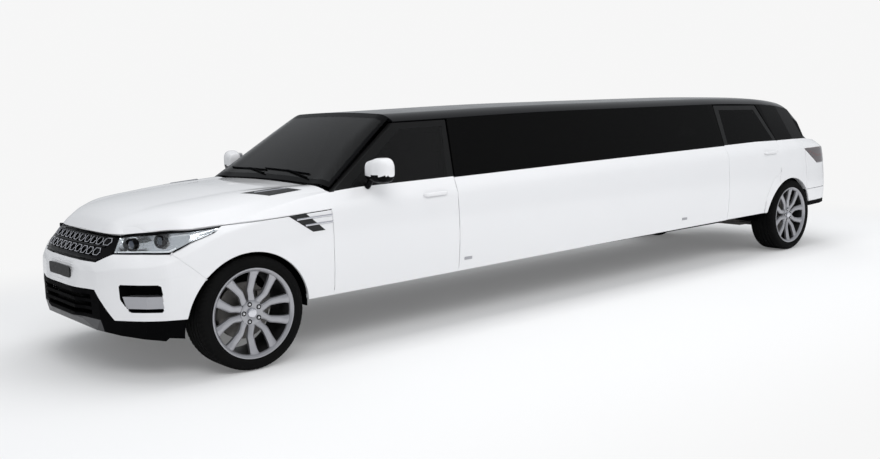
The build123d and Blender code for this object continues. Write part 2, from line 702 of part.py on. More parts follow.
def hinge_notches(front):
    """Room in one left door's leading edge for its hinges, with the pin bores."""
    x, reach = hinge_x(front), HINGE_NOTCH_MARGIN
    pieces = []
    for z in HINGE_HEIGHTS:
        half = HINGE_NOTCH_HEIGHT / 2
        pieces.append(block(x - reach, x + HINGE_SET_BACK + 20, DOOR_INNER_Y - 50, HINGE_Y + reach,
                            z - half, z + half))
        pieces.append(rod_z(x, HINGE_Y, HINGE_PIN_RADIUS + SEAT_GAP, z - half - HINGE_GRIP,
                            z + half + HINGE_GRIP))
    return pieces


def hinge_post():
    """Left post ahead of the front door, from the sill up, with the door's hinges."""
    x = hinge_x(True) + HINGE_SET_BACK + POST_SET_BACK
    x1 = behind_front(FIREWALL_AFT) - SEAT_GAP
    post = skin(block(x, x1, SIDE_INNER, FAR, CABIN_FLOOR, HINGE_POST_TOP),
                PANEL_THICKNESS + PILLAR_DEPTH, PANEL_THICKNESS)
    return fused([biggest(post), *hinges(True)])


def pillars():
    """Posts at the front and rear doors, both sides, with the door hinges."""
    b = behind_front(FRONT_DOOR_END) - POST_SET_BACK
    c = ahead_of_rear(REAR_DOOR_START) + POST_SET_BACK + PILLAR_WIDTH
    d = ahead_of_rear(REAR_DOOR_END) - POST_SET_BACK
    posts = [hinge_post(), pillar(b, b - PILLAR_LEAN - 10)]
    posts.append(fused([pillar(c, c - PILLAR_LEAN), *hinges(False)]))
    posts.append(pillar(d, d + PILLAR_LEAN - 10))
    return Compound([solid for post in posts for solid in pair(post).solids()])


# ---------------------------------------------------------------- doors
def door(outline, window, front):
    """Door: a thick lower part and a thinner window frame with its glass opening."""
    lower = skin(side_prism(outline, DOOR_INNER_Y, FAR) & below_belt(), DOOR_THICKNESS)
    upper = side_prism(outline, SIDE_INNER, FAR) - below_belt() - plan_prism(windscreen_plan(), 1000, 1800)
    upper = upper - block(behind_front(WINDSCREEN_FOOT), X_FRONT, 0, DOOR_INNER_Y, 1000, 1800)
    upper = skin(upper, FRAME_THICKNESS)
    panel = lower.fuse(upper) - side_prism(window, 0, FAR)
    return biggest(panel.cut(*hinge_notches(front)))


def front_window():
    x_rear = behind_front(FRONT_DOOR_END)
    return window_outline(behind_front(FRONT_DOOR_START + 190), x_rear + WINDOW_BORDER,
                          behind_front(1420), x_rear - PILLAR_LEAN + WINDOW_BORDER - 10, 55)


def rear_window():
    x_front = ahead_of_rear(REAR_DOOR_START) - WINDOW_BORDER
    x_rear = ahead_of_rear(REAR_DOOR_END) + WINDOW_BORDER
    return window_outline(x_front, x_rear, x_front - PILLAR_LEAN, x_rear + PILLAR_LEAN, 55)


def door_glass(window):
    return biggest(skin(side_prism(window, SIDE_INNER, FAR), GLASS_THICKNESS))


def mirror():
    """Left door mirror: a rounded housing on a foot."""
    x, y0 = behind_front(1013), line_at("belt", behind_front(900))[0]
    shape = [(x + 88, y0 + 36), (x + 100, y0 + 140), (x + 58, y0 + 232), (x - 62, y0 + 240),
             (x - 75, y0 + 36)]
    head = plan_prism(shape, MIRROR_LOW, MIRROR_HIGH)
    head = chamfer(head.edges().filter_by(GeomType.LINE).sort_by(Axis.Z)[:5], 22)
    belt_z = line_at("belt", behind_front(900))[1]
    foot = block(x - 10, x + 80, y0 - 8, y0 + 80, belt_z - 42, MIRROR_LOW + 30)
    return biggest(head.fuse(foot) - envelope())


# ---------------------------------------------------------------- tailgate
def tailgate_space():
    return block(-FAR, X_REAR - TAILGATE_AXIS_BACK - TAILGATE_LIP, -TAILGATE_HALF_WIDTH, TAILGATE_HALF_WIDTH,
                 TAILGATE_BOTTOM, 1800)


def rear_screen_space(grow=0):
    return front_prism([(-560 - grow, 1215 - grow), (-560 - grow, 1400), (-470 - grow, 1540 + grow),
                        (470 + grow, 1540 + grow), (560 + grow, 1400), (560 + grow, 1215 - grow)],
                       X_REAR - 2000, X_REAR)


def tailgate():
    """Tailgate with its screen opening and hinge ears."""
    x, z, half = X_REAR - TAILGATE_AXIS_BACK, TAILGATE_AXIS_Z, LID_EAR / 2
    y0, y1 = TAILGATE_HINGE_Y - TAILGATE_NOTCH, TAILGATE_HINGE_Y + LID_EAR + TAILGATE_NOTCH
    notch = block(x - 3 * TAILGATE_NOTCH, x + half, y0, y1, z - 100, z + 100)
    ear = block(x - 25, x + half, y1, y1 + LID_EAR, z - half, z + half)
    bore = rod_y(x, z, LID_PIN_RADIUS + SEAT_GAP, y1 - 1, y1 + LID_EAR + 1)
    panel = (skin(tailgate_space(), TAILGATE_THICKNESS) - rear_screen_space()).cut(notch, right_of(notch))
    return biggest(panel.fuse(ear, right_of(ear)).cut(bore, right_of(bore)))


def tailgate_glass():
    return biggest(skin(tailgate_space() & rear_screen_space(), GLASS_THICKNESS))


# ---------------------------------------------------------------- floor and chassis
def floor_pan():
    """Flat floor with a step up to the load floor, cut out round the rear wheels."""
    x0, x1 = behind_front(FIREWALL_AFT), X_REAR - 880
    step = ahead_of_rear(STEP_AHEAD)
    t = FLOOR_THICKNESS
    outline = [(x0, FLOOR_Z), (x0, FLOOR_Z + t), (step + t, FLOOR_Z + t), (step + t, LOAD_FLOOR_Z + t),
               (x1, LOAD_FLOOR_Z + t), (x1, LOAD_FLOOR_Z), (step, LOAD_FLOOR_Z), (step, FLOOR_Z)]
    pan = side_prism(outline, -FLOOR_HALF_WIDTH, FLOOR_HALF_WIDTH)
    reach = ARCH_RADIUS + LINER_CLEARANCE + LINER_WALL
    for side in (1, -1):
        y0, y1 = sorted((side * (REAR_LINER_INNER_Y - LINER_WALL), side * FAR))
        pan = pan - rod_y(X_REAR, ARCH_CENTRE_Z, reach, y0, y1)
    return biggest(pan & envelope(PANEL_THICKNESS))


def firewall():
    x = behind_front(FIREWALL_AFT)
    wall = block(x, x + 12, -FLOOR_HALF_WIDTH, FLOOR_HALF_WIDTH, FLOOR_Z, COWL_TRAY_Z)
    return biggest(wall & envelope(PANEL_THICKNESS + 10))


def rail():
    """Left chassis rail: low under the cabin, raised over both axles."""
    h = RAIL_HEIGHT
    low, front, rear = FLOOR_Z - h, FRONT_RAIL_Z, LOAD_FLOOR_Z - h
    path = [(behind_front(-620), front), (behind_front(350), front), (behind_front(FIREWALL_AFT - 15), low),
            (ahead_of_rear(STEP_AHEAD), low), (ahead_of_rear(STEP_AHEAD - 200), rear),
            (X_REAR - 860, rear)]
    outline = path + [(x, z + h) for x, z in path[::-1]]
    bar = side_prism(outline, RAIL_Y - RAIL_WIDTH / 2, RAIL_Y + RAIL_WIDTH / 2)
    return bar


def chassis_frame():
    """Two rails joined by cross-members, with the front towers and the crash beam."""
    left = rail()
    x0 = behind_front(1150)
    x1 = ahead_of_rear(STEP_AHEAD + 260)
    members = []
    for i in range(CROSS_MEMBERS):
        x = x0 + (x1 - x0) * i / (CROSS_MEMBERS - 1)
        members.append(block(x - CROSS_WIDTH / 2, x + CROSS_WIDTH / 2, -RAIL_Y, RAIL_Y,
                             FLOOR_Z - CROSS_HEIGHT, FLOOR_Z))
    reach = RAIL_Y + RAIL_WIDTH / 2
    beam = block(behind_front(-620), behind_front(-680), -560, 560, FRONT_RAIL_Z, FRONT_RAIL_Z + RAIL_HEIGHT)
    tail = block(X_REAR - 800, X_REAR - 860, -560, 560, LOAD_FLOOR_Z - RAIL_HEIGHT, LOAD_FLOOR_Z)
    mid = block(X_REAR - 40, X_REAR + 40, -RAIL_Y, RAIL_Y, LOAD_FLOOR_Z - 60, LOAD_FLOOR_Z)
    towers = []
    for side in (1, -1):
        leg = block(STRUT_X - 60, STRUT_X + 60, reach - 60, reach, FRONT_RAIL_Z + 50, TOWER_Z + 16)
        plate = block(STRUT_X - 60, STRUT_X + 60, reach - 60, STRUT_Y + 60, TOWER_Z, TOWER_Z + 16)
        towers += [leg, plate] if side == 1 else [right_of(leg), right_of(plate)]
    return fused([left, right_of(left), beam, tail, mid, *members, *towers])


def arch_liner(x, inner_y):
    """Left wheelhouse: half a drum with an inner wall."""
    r = ARCH_RADIUS + LINER_CLEARANCE
    drum = rod_y(x, ARCH_CENTRE_Z, r + LINER_WALL, inner_y - LINER_WALL, LINER_OUTER_Y)
    drum = drum - rod_y(x, ARCH_CENTRE_Z, r, inner_y, LINER_OUTER_Y)
    drum = drum & block(x - 1000, x + 1000, 0, FAR, ARCH_CENTRE_Z, 1000)
    return drum & envelope(BUMPER_THICKNESS + PANEL_THICKNESS / 2)


def arch_liners():
    """Four wheelhouses; the front inner walls are open for the rails and shafts."""
    front = arch_liner(X_FRONT, LINER_INNER_Y)
    front = front - block(X_FRONT - 300, X_FRONT + 300, 0, LINER_INNER_Y + 1, 0, 700)
    front = front - rod_z(STRUT_X, STRUT_Y, STRUT_RADIUS + 12, 500, TOWER_Z)
    rear = arch_liner(X_REAR, REAR_LINER_INNER_Y)
    rear = rear - block(X_REAR - 200, X_REAR + 200, 0, REAR_LINER_INNER_Y + 1, 0, 560)
    return Compound([*pair(biggest(front)).solids(), *pair(biggest(rear)).solids()])


def arm(x, z, y_in, y_out, root_half, tip_half):
    """Left suspension arm: a flat tapered link with a round end."""
    outline = [(x - root_half, y_in), (x + root_half, y_in), (x + root_half, y_in + 170),
               (x + tip_half, y_out), (x - tip_half, y_out), (x - root_half, y_in + 170)]
    return plan_prism(outline, z, z + ARM_THICKNESS).fuse(rod_z(x, y_out, tip_half, z, z + ARM_THICKNESS))


def front_suspension():
    """Subframe between the front wheels, with its arms and spring struts."""
    h = SUBFRAME_HALF_LENGTH
    frame = block(X_FRONT - h, X_FRONT + h, -SUBFRAME_Y, SUBFRAME_Y, SUBFRAME_LOW, SUBFRAME_HIGH)
    frame = frame - block(X_FRONT - h + 60, X_FRONT + h - 60, -SUBFRAME_Y + 90, SUBFRAME_Y - 90,
                          SUBFRAME_LOW - 1, SUBFRAME_HIGH - 40)
    parts = [frame]
    for mirror_it in (False, True):
        lower = arm(X_FRONT, LOWER_ARM_Z, SUBFRAME_Y - 20, KINGPIN_Y, 95, 30)
        post = block(X_FRONT - 150, X_FRONT - 90, SUBFRAME_Y - 60, SUBFRAME_Y,
                     SUBFRAME_HIGH - 10, FRONT_RAIL_Z)
        strut = rod_z(STRUT_X, STRUT_Y, STRUT_RADIUS, LOWER_ARM_Z + 5, TOWER_Z)
        for piece in (lower, post, strut):
            parts.append(right_of(piece) if mirror_it else piece)
    main = fused(parts)
    upper = upper_arm()
    return Compound([main, *pair(upper).solids()])


def upper_arm():
    """Left upper arm, from the rail to the top of the knuckle."""
    y_in = RAIL_Y + RAIL_WIDTH / 2
    outline = [(X_FRONT + 20, y_in), (X_FRONT + 110, y_in), (X_FRONT + 28, KINGPIN_Y),
               (X_FRONT - 28, KINGPIN_Y)]
    return plan_prism(outline, UPPER_ARM_Z, UPPER_ARM_Z + ARM_THICKNESS).fuse(
        rod_z(X_FRONT, KINGPIN_Y, 28, UPPER_ARM_Z, UPPER_ARM_Z + ARM_THICKNESS))


def brake(x):
    """Left brake disc with the caliper that grips its edge."""
    disc = rod_y(x, HUB_Z, DISC_RADIUS, DISC_Y - DISC_THICKNESS / 2, DISC_Y + DISC_THICKNESS / 2)
    caliper = block(x - 190, x - 95, DISC_Y - 45, DISC_Y + 34, HUB_Z - 20, HUB_Z + 120)
    caliper = caliper & rod_y(x, HUB_Z, DISC_RADIUS + 30, DISC_Y - 60, DISC_Y + 60)
    return disc.fuse(caliper)


def knuckle():
    """Left front knuckle: the upright between the ball joints, the spindle and the brake."""
    half = UPRIGHT_SIZE / 2
    upright = block(X_FRONT - half, X_FRONT + half, KINGPIN_Y - half, KINGPIN_Y + half - 20,
                    HUB_Z - UPRIGHT_HALF_HEIGHT, HUB_Z + UPRIGHT_HALF_HEIGHT)
    spindle = rod_y(X_FRONT, HUB_Z, SPINDLE_RADIUS, KINGPIN_Y, HUB_SEAT_Y - SEAT_GAP)
    bridge = block(X_FRONT - 150, X_FRONT, KINGPIN_Y - half, KINGPIN_Y - half + 26, HUB_Z + 20, HUB_Z + 60)
    return fused([upright, spindle, bridge, brake(X_FRONT)])


def rear_axle():
    """Rear subframe with the drive case, shafts, arms, hub carriers and brakes."""
    case = block(X_REAR - 150, X_REAR + 170, -150, 150, HUB_Z - 110, HUB_Z + 90)
    frame = block(X_REAR - 60, X_REAR + 60, -330, 330, SUBFRAME_LOW, SUBFRAME_LOW + 60)
    legs = block(X_REAR - 60, X_REAR + 60, 300, 400, SUBFRAME_LOW, LOAD_FLOOR_Z - RAIL_HEIGHT)
    shaft = rod_y(X_REAR, HUB_Z, 24, 140, KINGPIN_Y)
    carrier = block(X_REAR - 40, X_REAR + 40, KINGPIN_Y - 40, KINGPIN_Y + 16, HUB_Z - 130, HUB_Z + 130)
    spindle = rod_y(X_REAR, HUB_Z, SPINDLE_RADIUS, KINGPIN_Y, HUB_SEAT_Y - SEAT_GAP)
    lower = arm(X_REAR, SUBFRAME_LOW + 20, 380, KINGPIN_Y, 90, 30)
    spring = rod_z(X_REAR, 520, 44, SUBFRAME_LOW + 30, LOAD_FLOOR_Z)
    legs = legs - rod_y(X_REAR, HUB_Z, 34, 200, 420)
    parts = [case, frame]
    for piece in (legs, shaft, carrier, spindle, lower, spring, brake(X_REAR)):
        parts += [piece, right_of(piece)]
    joined = fused(parts)
    return joined


def engine():
    """Engine and gearbox as one plain block."""
    block_part = block(behind_front(330), behind_front(-260), -230, 230, SUBFRAME_HIGH, 850)
    gearbox = block(behind_front(GEARBOX_END), behind_front(300), -GEARBOX_HALF_WIDTH, GEARBOX_HALF_WIDTH,
                    300, FLOOR_Z - 8)
    return block_part.fuse(gearbox)


def propshaft():
    return rod_x(0, PROP_Z, PROP_RADIUS, X_REAR + 170, behind_front(GEARBOX_END))


def exhaust():
    """Pipe beside the shaft with two silencers and twin tail pipes."""
    x_start, x_end = behind_front(900), ahead_of_rear(330)
    pipe = rod_x(EXHAUST_Y, EXHAUST_Z, EXHAUST_RADIUS, x_end, x_start)
    flange = block(behind_front(900), behind_front(860), GEARBOX_HALF_WIDTH, EXHAUST_Y + 30,
                   EXHAUST_Z - 30, EXHAUST_Z + 30)
    parts = [pipe, flange]
    dx, dy, dz = SILENCER_HALF
    for x in (behind_front(2600), ahead_of_rear(330 + dx)):
        parts.append(block(x - dx, x + dx, EXHAUST_Y - dy + 20, EXHAUST_Y + dy,
                           EXHAUST_Z - dz, EXHAUST_Z + dz))
    return fused(parts)


def fuel_tank():
    return block(ahead_of_rear(700), ahead_of_rear(1500), -370, -60, 305, FLOOR_Z - CROSS_HEIGHT)


# ---------------------------------------------------------------- cabin


def dashboard():
    """Dashboard across the cabin behind the firewall."""
    tray, foot = COWL_TRAY_Z - SEAT_GAP, behind_front(WINDSCREEN_FOOT) - SEAT_GAP
    outline = [(behind_front(FIREWALL_AFT), 700), (behind_front(FIREWALL_AFT), tray), (foot, tray),
               (foot, 1066), (behind_front(820), 1085), (behind_front(1010), 1060), (behind_front(1040), 960),
               (behind_front(900), 720)]
    return biggest(side_prism(outline, -780, 780) & envelope(DOOR_THICKNESS + 45))


def steering_wheel():
    """Rim, spokes and column on the left of the cabin."""
    ring = Solid.make_torus(180, 15, Plane((0, 0, 0)))
    boss = Solid.make_cylinder(55, 40, Plane((0, 0, -25)))
    bars = Solid.make_box(360, 30, 14, Plane((-180, -15, -10)))
    lower = Solid.make_box(30, 180, 14, Plane((-15, -180, -10)))
    column = Solid.make_cylinder(28, 170, Plane((0, 0, -190)))
    wheel = fused([ring, boss, bars, lower, column])
    place = Plane(origin=(behind_front(1165), DRIVER_Y, 965), x_dir=(0, 1, 0),
                  z_dir=(-cos(radians(25)), 0, sin(radians(25))))
    return biggest(place.location * wheel - dashboard())


def seat(x, y, width=520):
    """One seat: base, cushion and leaning back."""
    cushion = block(x - 260, x + 260, y - width / 2, y + width / 2, CABIN_FLOOR + 130, CABIN_FLOOR + 290)
    base = block(x - 200, x + 200, y - width / 2 + 60, y + width / 2 - 60, CABIN_FLOOR, CABIN_FLOOR + 140)
    foot, shoulder, crown = CABIN_FLOOR + 240, CABIN_FLOOR + 860, CABIN_FLOOR + 1010
    back = side_prism([(x - 150, foot), (x - 290, foot), (x - 440, shoulder), (x - 320, shoulder)],
                      y - width / 2, y + width / 2)
    head = side_prism([(x - 320, shoulder - 10), (x - 440, shoulder - 10), (x - 470, crown), (x - 370, crown)],
                      y - 130, y + 130)
    return fused([base, cushion, back, head])


def front_seats():
    return pair(seat(behind_front(1560), DRIVER_Y))


def partition():
    """Wall between the driver and the lounge."""
    x = behind_front(2120)
    wall = block(x - 30, x, -FAR, FAR, CABIN_FLOOR, 1800)
    return biggest(wall & envelope(PANEL_THICKNESS + 47))


def lounge_seat():
    """Long bench on the right that turns across the rear of the lounge."""
    x0, x1 = behind_front(LOUNGE_START), ahead_of_rear(LOUNGE_END)
    side_base = block(x1, x0, -790, -300, CABIN_FLOOR, CABIN_FLOOR + 400)
    side_back = block(x1, x0, -790, -660, CABIN_FLOOR + 390, CABIN_FLOOR + 700)
    rear_base = block(x1, x1 + 560, -790, 790, CABIN_FLOOR, CABIN_FLOOR + 400)
    rear_back = block(x1, x1 + 150, -790, 790, CABIN_FLOOR + 390, CABIN_FLOOR + 700)
    return biggest(fused([side_base, side_back, rear_base, rear_back]) & envelope(PANEL_THICKNESS + 50))


def bar_cabinet():
    """Drinks cabinet along the lounge's left wall."""
    x0, x1 = behind_front(LOUNGE_START + 100), ahead_of_rear(LOUNGE_END + 1300)
    body = block(x1, x0, 560, 830, CABIN_FLOOR, CABIN_FLOOR + 560)
    body = body - block(x1 + 60, x0 - 60, 500, 780, CABIN_FLOOR + 320, CABIN_FLOOR + 500)
    return biggest(body & envelope(PANEL_THICKNESS + 50))


# ---------------------------------------------------------------- wheels
def ring_y(x, y, profile):
    """Solid turned about the wheel's axle from (radius, offset from the centre plane) points."""
    face = Face(Wire.make_polygon([(x + r, y + w, HUB_Z) for r, w in profile]))
    return revolve(face, Axis((x, y, HUB_Z), (0, 1, 0)), 360).solid()


def tyre(x, side):
    """Tyre with rounded shoulders, seated between the rim flanges."""
    half, bead = TYRE_WIDTH / 2, RIM_WIDTH / 2 - RIM_FLANGE_WIDTH
    r0, r1, r2 = BARREL_RADIUS + SEAT_GAP, RIM_FLANGE_RADIUS + 3, TYRE_RADIUS
    profile = [(r0, -bead + SEAT_GAP), (r0, bead - SEAT_GAP), (r1, bead - SEAT_GAP), (r1 + 5, half - 8),
               (r1 + 30, half), (r2 - 22, half - 4), (r2 - 6, half - 22), (r2, half - 42),
               (r2, -half + 42), (r2 - 6, -half + 22), (r2 - 22, -half + 4), (r1 + 30, -half),
               (r1 + 5, -half + 8), (r1, -bead + SEAT_GAP)]
    return ring_y(x, side * WHEEL_CENTRE_Y, profile)


def spoke_leg(side_of_pair):
    rings = []
    for share, offset, width, inner, outer in SPOKE_LEG:
        r = share * RIM_FLANGE_RADIUS
        t = side_of_pair * offset * RIM_FLANGE_RADIUS
        rings.append(Wire.make_polygon([(r, inner, t - width / 2), (r, outer, t - width / 2),
                                        (r, outer, t + width / 2), (r, inner, t + width / 2)]))
    return Solid.make_loft(rings, ruled=True)


def wheel_pattern():
    """Rim about the Y axis at the origin, face towards +Y."""
    half, flange = RIM_WIDTH / 2, RIM_FLANGE_WIDTH
    inner = BARREL_RADIUS - BARREL_WALL
    profile = [(inner, -half), (RIM_FLANGE_RADIUS, -half), (RIM_FLANGE_RADIUS, -half + flange),
               (BARREL_RADIUS, -half + flange), (BARREL_RADIUS, half - flange),
               (RIM_FLANGE_RADIUS, half - flange), (RIM_FLANGE_RADIUS, half), (inner, half)]
    face = Face(Wire.make_polygon([(r, w, 0) for r, w in profile]))
    barrel = revolve(face, Axis.Y, 360).solid()
    hub = rod_y(0, 0, HUB_RADIUS, HUB_FACE_OFFSET - 55, HUB_FACE_OFFSET)
    legs = []
    for i in range(SPOKE_PAIRS):
        turn = SPOKE_TURN + 90 + i * 360 / SPOKE_PAIRS
        for side_of_pair in (1, -1):
            legs.append(spoke_leg(side_of_pair).rotate(Axis.Y, turn))
    core = rod_y(0, 0, BARREL_RADIUS - 1, -half, half)
    return biggest(fused([barrel, hub, *[leg & core for leg in legs]]))


def wheel(pattern, x, side):
    """The rim moved to its axle; the right side turns its face outwards."""
    turned = pattern if side == 1 else pattern.mirror(Plane.XZ)
    return turned.moved(Location((x, side * WHEEL_CENTRE_Y, HUB_Z)))


# ---------------------------------------------------------------- all sub-parts
def main():
    os.makedirs("parts", exist_ok=True)
    save("chassis_frame", chassis_frame())
    save("floor_pan", floor_pan())
    save("firewall", firewall())
    save("sills", pair(sill()))
    save("pillars", pillars())
    save("cant_rails", pair(cant_rail()))
    save("cowl", cowl())
    save("roof_panel", roof_panel())
    save("front_wings", pair(wing()))
    save("stretch_panels", pair(stretch_panel()))
    save("quarter_panels", pair(quarter_panel()))
    save("windscreen", windscreen())
    save("side_windows", pair(side_window()))
    save("quarter_windows", pair(quarter_window()))
    save("front_bumper", front_bumper())
    save("lower_bumper", lower_bumper())
    save("front_grille", grille())
    save("head_lamps", pair(biggest(head_lamp())))
    save("fog_lamps", pair(biggest(fog_lamp())))
    save("skid_plate", skid_plate())
    save("rear_bumper", rear_bumper())
    save("tail_lamps", pair(tail_lamp()))
    save("arch_liners", arch_liners())
    save("front_suspension", front_suspension())
    save("rear_axle", rear_axle())
    save("engine_block", engine())
    save("propshaft", propshaft())
    save("exhaust", exhaust())
    save("fuel_tank", fuel_tank())
    save("dashboard", dashboard())
    save("steering_wheel", steering_wheel())
    save("front_seats", front_seats())
    save("partition", partition())
    save("lounge_seat", lounge_seat())
    save("bar_cabinet", bar_cabinet())
    save("bonnet", bonnet())
    save("tailgate", tailgate())
    save("tailgate_glass", tailgate_glass())

    front_door = door(front_door_outline(), front_window(), True)
    rear_door = door(rear_door_outline(), rear_window(), False)
    glass_front, glass_rear = door_glass(front_window()), door_glass(rear_window())
    left_parts = {"knuckle": knuckle(), "front_door": front_door, "rear_door": rear_door,
                  "front_door_glass": glass_front, "rear_door_glass": glass_rear, "door_mirror": mirror()}
    for name, shape in left_parts.items():
        save(f"{name}_left", shape)
        save(f"{name}_right", right_of(shape))

    pattern = wheel_pattern()
    for axle, x in (("front", X_FRONT), ("rear", X_REAR)):
        for side_name, side in (("left", 1), ("right", -1)):
            save(f"wheel_{axle}_{side_name}", wheel(pattern, x, side))
            save(f"tyre_{axle}_{side_name}", tyre(x, side))


if __name__ == "__main__":
    main()
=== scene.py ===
"""Looks of a stretch limousine: painted skins, glass, lamps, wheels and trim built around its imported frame.

Lengths in the tables are millimetres. Places along the body are given as u, the distance behind the
front axle, with y to the left and z up from the ground.
"""

import json

import bmesh
import bpy
import numpy as np
from mathutils import Matrix, Vector


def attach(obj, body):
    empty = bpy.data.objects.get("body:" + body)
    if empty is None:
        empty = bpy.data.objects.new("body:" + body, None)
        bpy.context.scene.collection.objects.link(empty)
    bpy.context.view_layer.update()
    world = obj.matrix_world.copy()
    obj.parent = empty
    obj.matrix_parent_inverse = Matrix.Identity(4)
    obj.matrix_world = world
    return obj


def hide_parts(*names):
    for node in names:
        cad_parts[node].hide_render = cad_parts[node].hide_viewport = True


bl_info = {
    "name": "Stretch limousine looks",
    "version": (1, 0, 0),
    "blender": (4, 5, 0),
    "location": "3D View > Sidebar > Limousine",
    "description": "Dresses the packed frame of a stretch limousine with skins, glass, wheels and trim",
    "category": "Object",
}

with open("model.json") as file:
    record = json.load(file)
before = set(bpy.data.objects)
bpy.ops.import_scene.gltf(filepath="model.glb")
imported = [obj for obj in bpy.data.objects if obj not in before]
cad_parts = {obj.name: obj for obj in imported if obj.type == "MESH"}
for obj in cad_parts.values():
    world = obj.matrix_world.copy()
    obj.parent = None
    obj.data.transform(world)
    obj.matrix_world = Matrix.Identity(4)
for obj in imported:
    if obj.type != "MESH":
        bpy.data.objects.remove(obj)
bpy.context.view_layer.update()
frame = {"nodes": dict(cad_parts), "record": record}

MM = 0.001
FRONT_AXLE_X = 3364.5
REAR_AXLE_U = 6580.0
NOSE_U = -889.0
TAIL_U = REAR_AXLE_U + 1038.0
ARCH_Z = 343.0
ARCH_EDGE = 436.0
WHEEL_Y, WHEEL_Z = 845.0, 378.0
LIFT = 1.5
SEAM = 2.5

# Shut lines and corners of the panels: u, or (u, z) on the side, or (y, z) on the nose
FRONT_DOOR_U = (640.0, 1790.0)
REAR_DOOR_U = 5403.0
REAR_DOOR_FOOT_U = 6098.0
REAR_DOOR_TOP_U = 6375.0
QUARTER_END_U = 6900.0
LAMP_OUTER, WING_NOTCH, WING_FOOT = (-486, 812), (-440, 763), (-316, 649)
LAMP_INNER, GRILLE_FOOT, INTAKE_TOP, INTAKE_FOOT = (554, 812), (445, 759), (462, 590), (604, 404)
LAMP_FOOT_Z = 817
TAILGATE_HALF = 697.0
PLATE_HALF, PLATE_Z = 186, (638, 712)
REAR_PLATE_HALF, REAR_PLATE_Z = 260, (716, 830)

# Body sections, as in the frame: u, then half-width and height of the foot, sill edge, lower crease,
# shoulder crease, belt, roof rail, roof edge and crown.
SECTION_ROWS = np.array([
    (-889, 180, 395, 240, 415, 260, 490, 240, 550, 200, 575, 150, 590, 80, 597, 0, 600),
    (-855, 270, 385, 330, 430, 370, 600, 330, 700, 270, 722, 190, 733, 100, 738, 0, 740),
    (-825, 435, 325, 495, 400, 495, 640, 480, 705, 425, 742, 330, 762, 180, 774, 0, 779),
    (-740, 595, 300, 655, 400, 662, 650, 645, 730, 540, 817, 430, 855, 250, 876, 0, 882),
    (-640, 725, 280, 785, 400, 800, 668, 775, 740, 508, 921, 465, 952, 330, 992, 0, 1010),
    (-520, 815, 260, 875, 400, 905, 676, 880, 760, 662, 940, 590, 990, 400, 1042, 0, 1066),
    (-350, 875, 237, 935, 400, 955, 684, 935, 840, 852, 957, 740, 1022, 420, 1078, 0, 1097),
    (-150, 888, 237, 948, 400, 975, 684, 955, 920, 893, 967, 770, 1045, 440, 1100, 0, 1120),
    (200, 895, 392, 955, 401, 984, 688, 962, 980, 912, 1040, 790, 1085, 460, 1128, 0, 1148),
    (700, 890, 393, 950, 403, 975, 690, 962, 998, 908, 1110, 880, 1116, 600, 1140, 0, 1152),
    (1380, 890, 398, 950, 408, 975, 693, 962, 1008, 916, 1122, 712, 1562, 560, 1618, 0, 1632),
    (3290, 890, 415, 950, 425, 975, 702, 962, 1036, 918, 1152, 705, 1590, 560, 1648, 0, 1668),
    (5400, 890, 428, 950, 438, 975, 713, 962, 1063, 915, 1180, 700, 1592, 560, 1650, 0, 1672),
    (6380, 890, 431, 950, 441, 978, 718, 958, 1077, 905, 1188, 690, 1570, 545, 1632, 0, 1656),
    (6730, 892, 432, 952, 442, 978, 718, 950, 1082, 892, 1188, 670, 1545, 530, 1608, 0, 1640),
    (7030, 885, 435, 945, 442, 962, 716, 925, 1085, 850, 1182, 640, 1505, 500, 1575, 0, 1612),
    (7300, 855, 436, 915, 442, 935, 712, 895, 1085, 800, 1160, 770, 1185, 500, 1200, 0, 1205),
    (7430, 820, 436, 880, 445, 890, 700, 850, 1070, 760, 1110, 700, 1125, 450, 1135, 0, 1140),
    (7530, 730, 440, 790, 460, 800, 690, 760, 1040, 700, 1060, 600, 1070, 400, 1078, 0, 1080),
    (7590, 590, 470, 650, 490, 660, 680, 620, 960, 560, 980, 480, 990, 300, 995, 0, 998),
    (7618, 460, 560, 520, 575, 530, 690, 490, 830, 440, 840, 380, 848, 200, 852, 0, 855),
], float)
FOOT, SILL, LOW, SHOULDER, BELT, RAIL, EDGE, CROWN = range(8)
CABIN_BREAKS = (700.0, 1380.0, 7030.0, 7300.0)
CHORD_BULGE = (0.0, 0.016, 0.016, 0.03, 0.0, 0.05, 0.0)
SCREEN_BULGE = 0.03
PER_SPAN = 12
BONNET_EDGE = ((-899, -650, -450, -165, 626), (921, 922, 950, 965, 997))
BONNET_U = (-707.0, 660.0)

# Centre of the rays that cover each rounded end of the body, and its tip
NOSE = (-60.0, NOSE_U)
TAIL = (REAR_AXLE_U + 260.0, TAIL_U)

BACKGROUND = (0.925, 0.925, 0.925, 1)
CAMERA_PLACE = (6.4243, 6.4349, 1.7254)
CAMERA_TURN = (0.8652, 0.1345, -0.0261)
CAMERA_LENS = 39.67

# name, place, target, length, width and power in watts
LIGHTS = (
    ("key_light", (7, 9, 9), (0.5, 0, 0.8), 8, 5, 680),
    ("fill_light", (-6, 9, 6), (-1, 0, 0.8), 8, 4, 350),
    ("top_light", (0, 0, 9), (0, 0, 0), 12, 4, 430),
    ("back_light", (-8, -7, 7), (-1, 0, 0.8), 7, 4, 200),
)

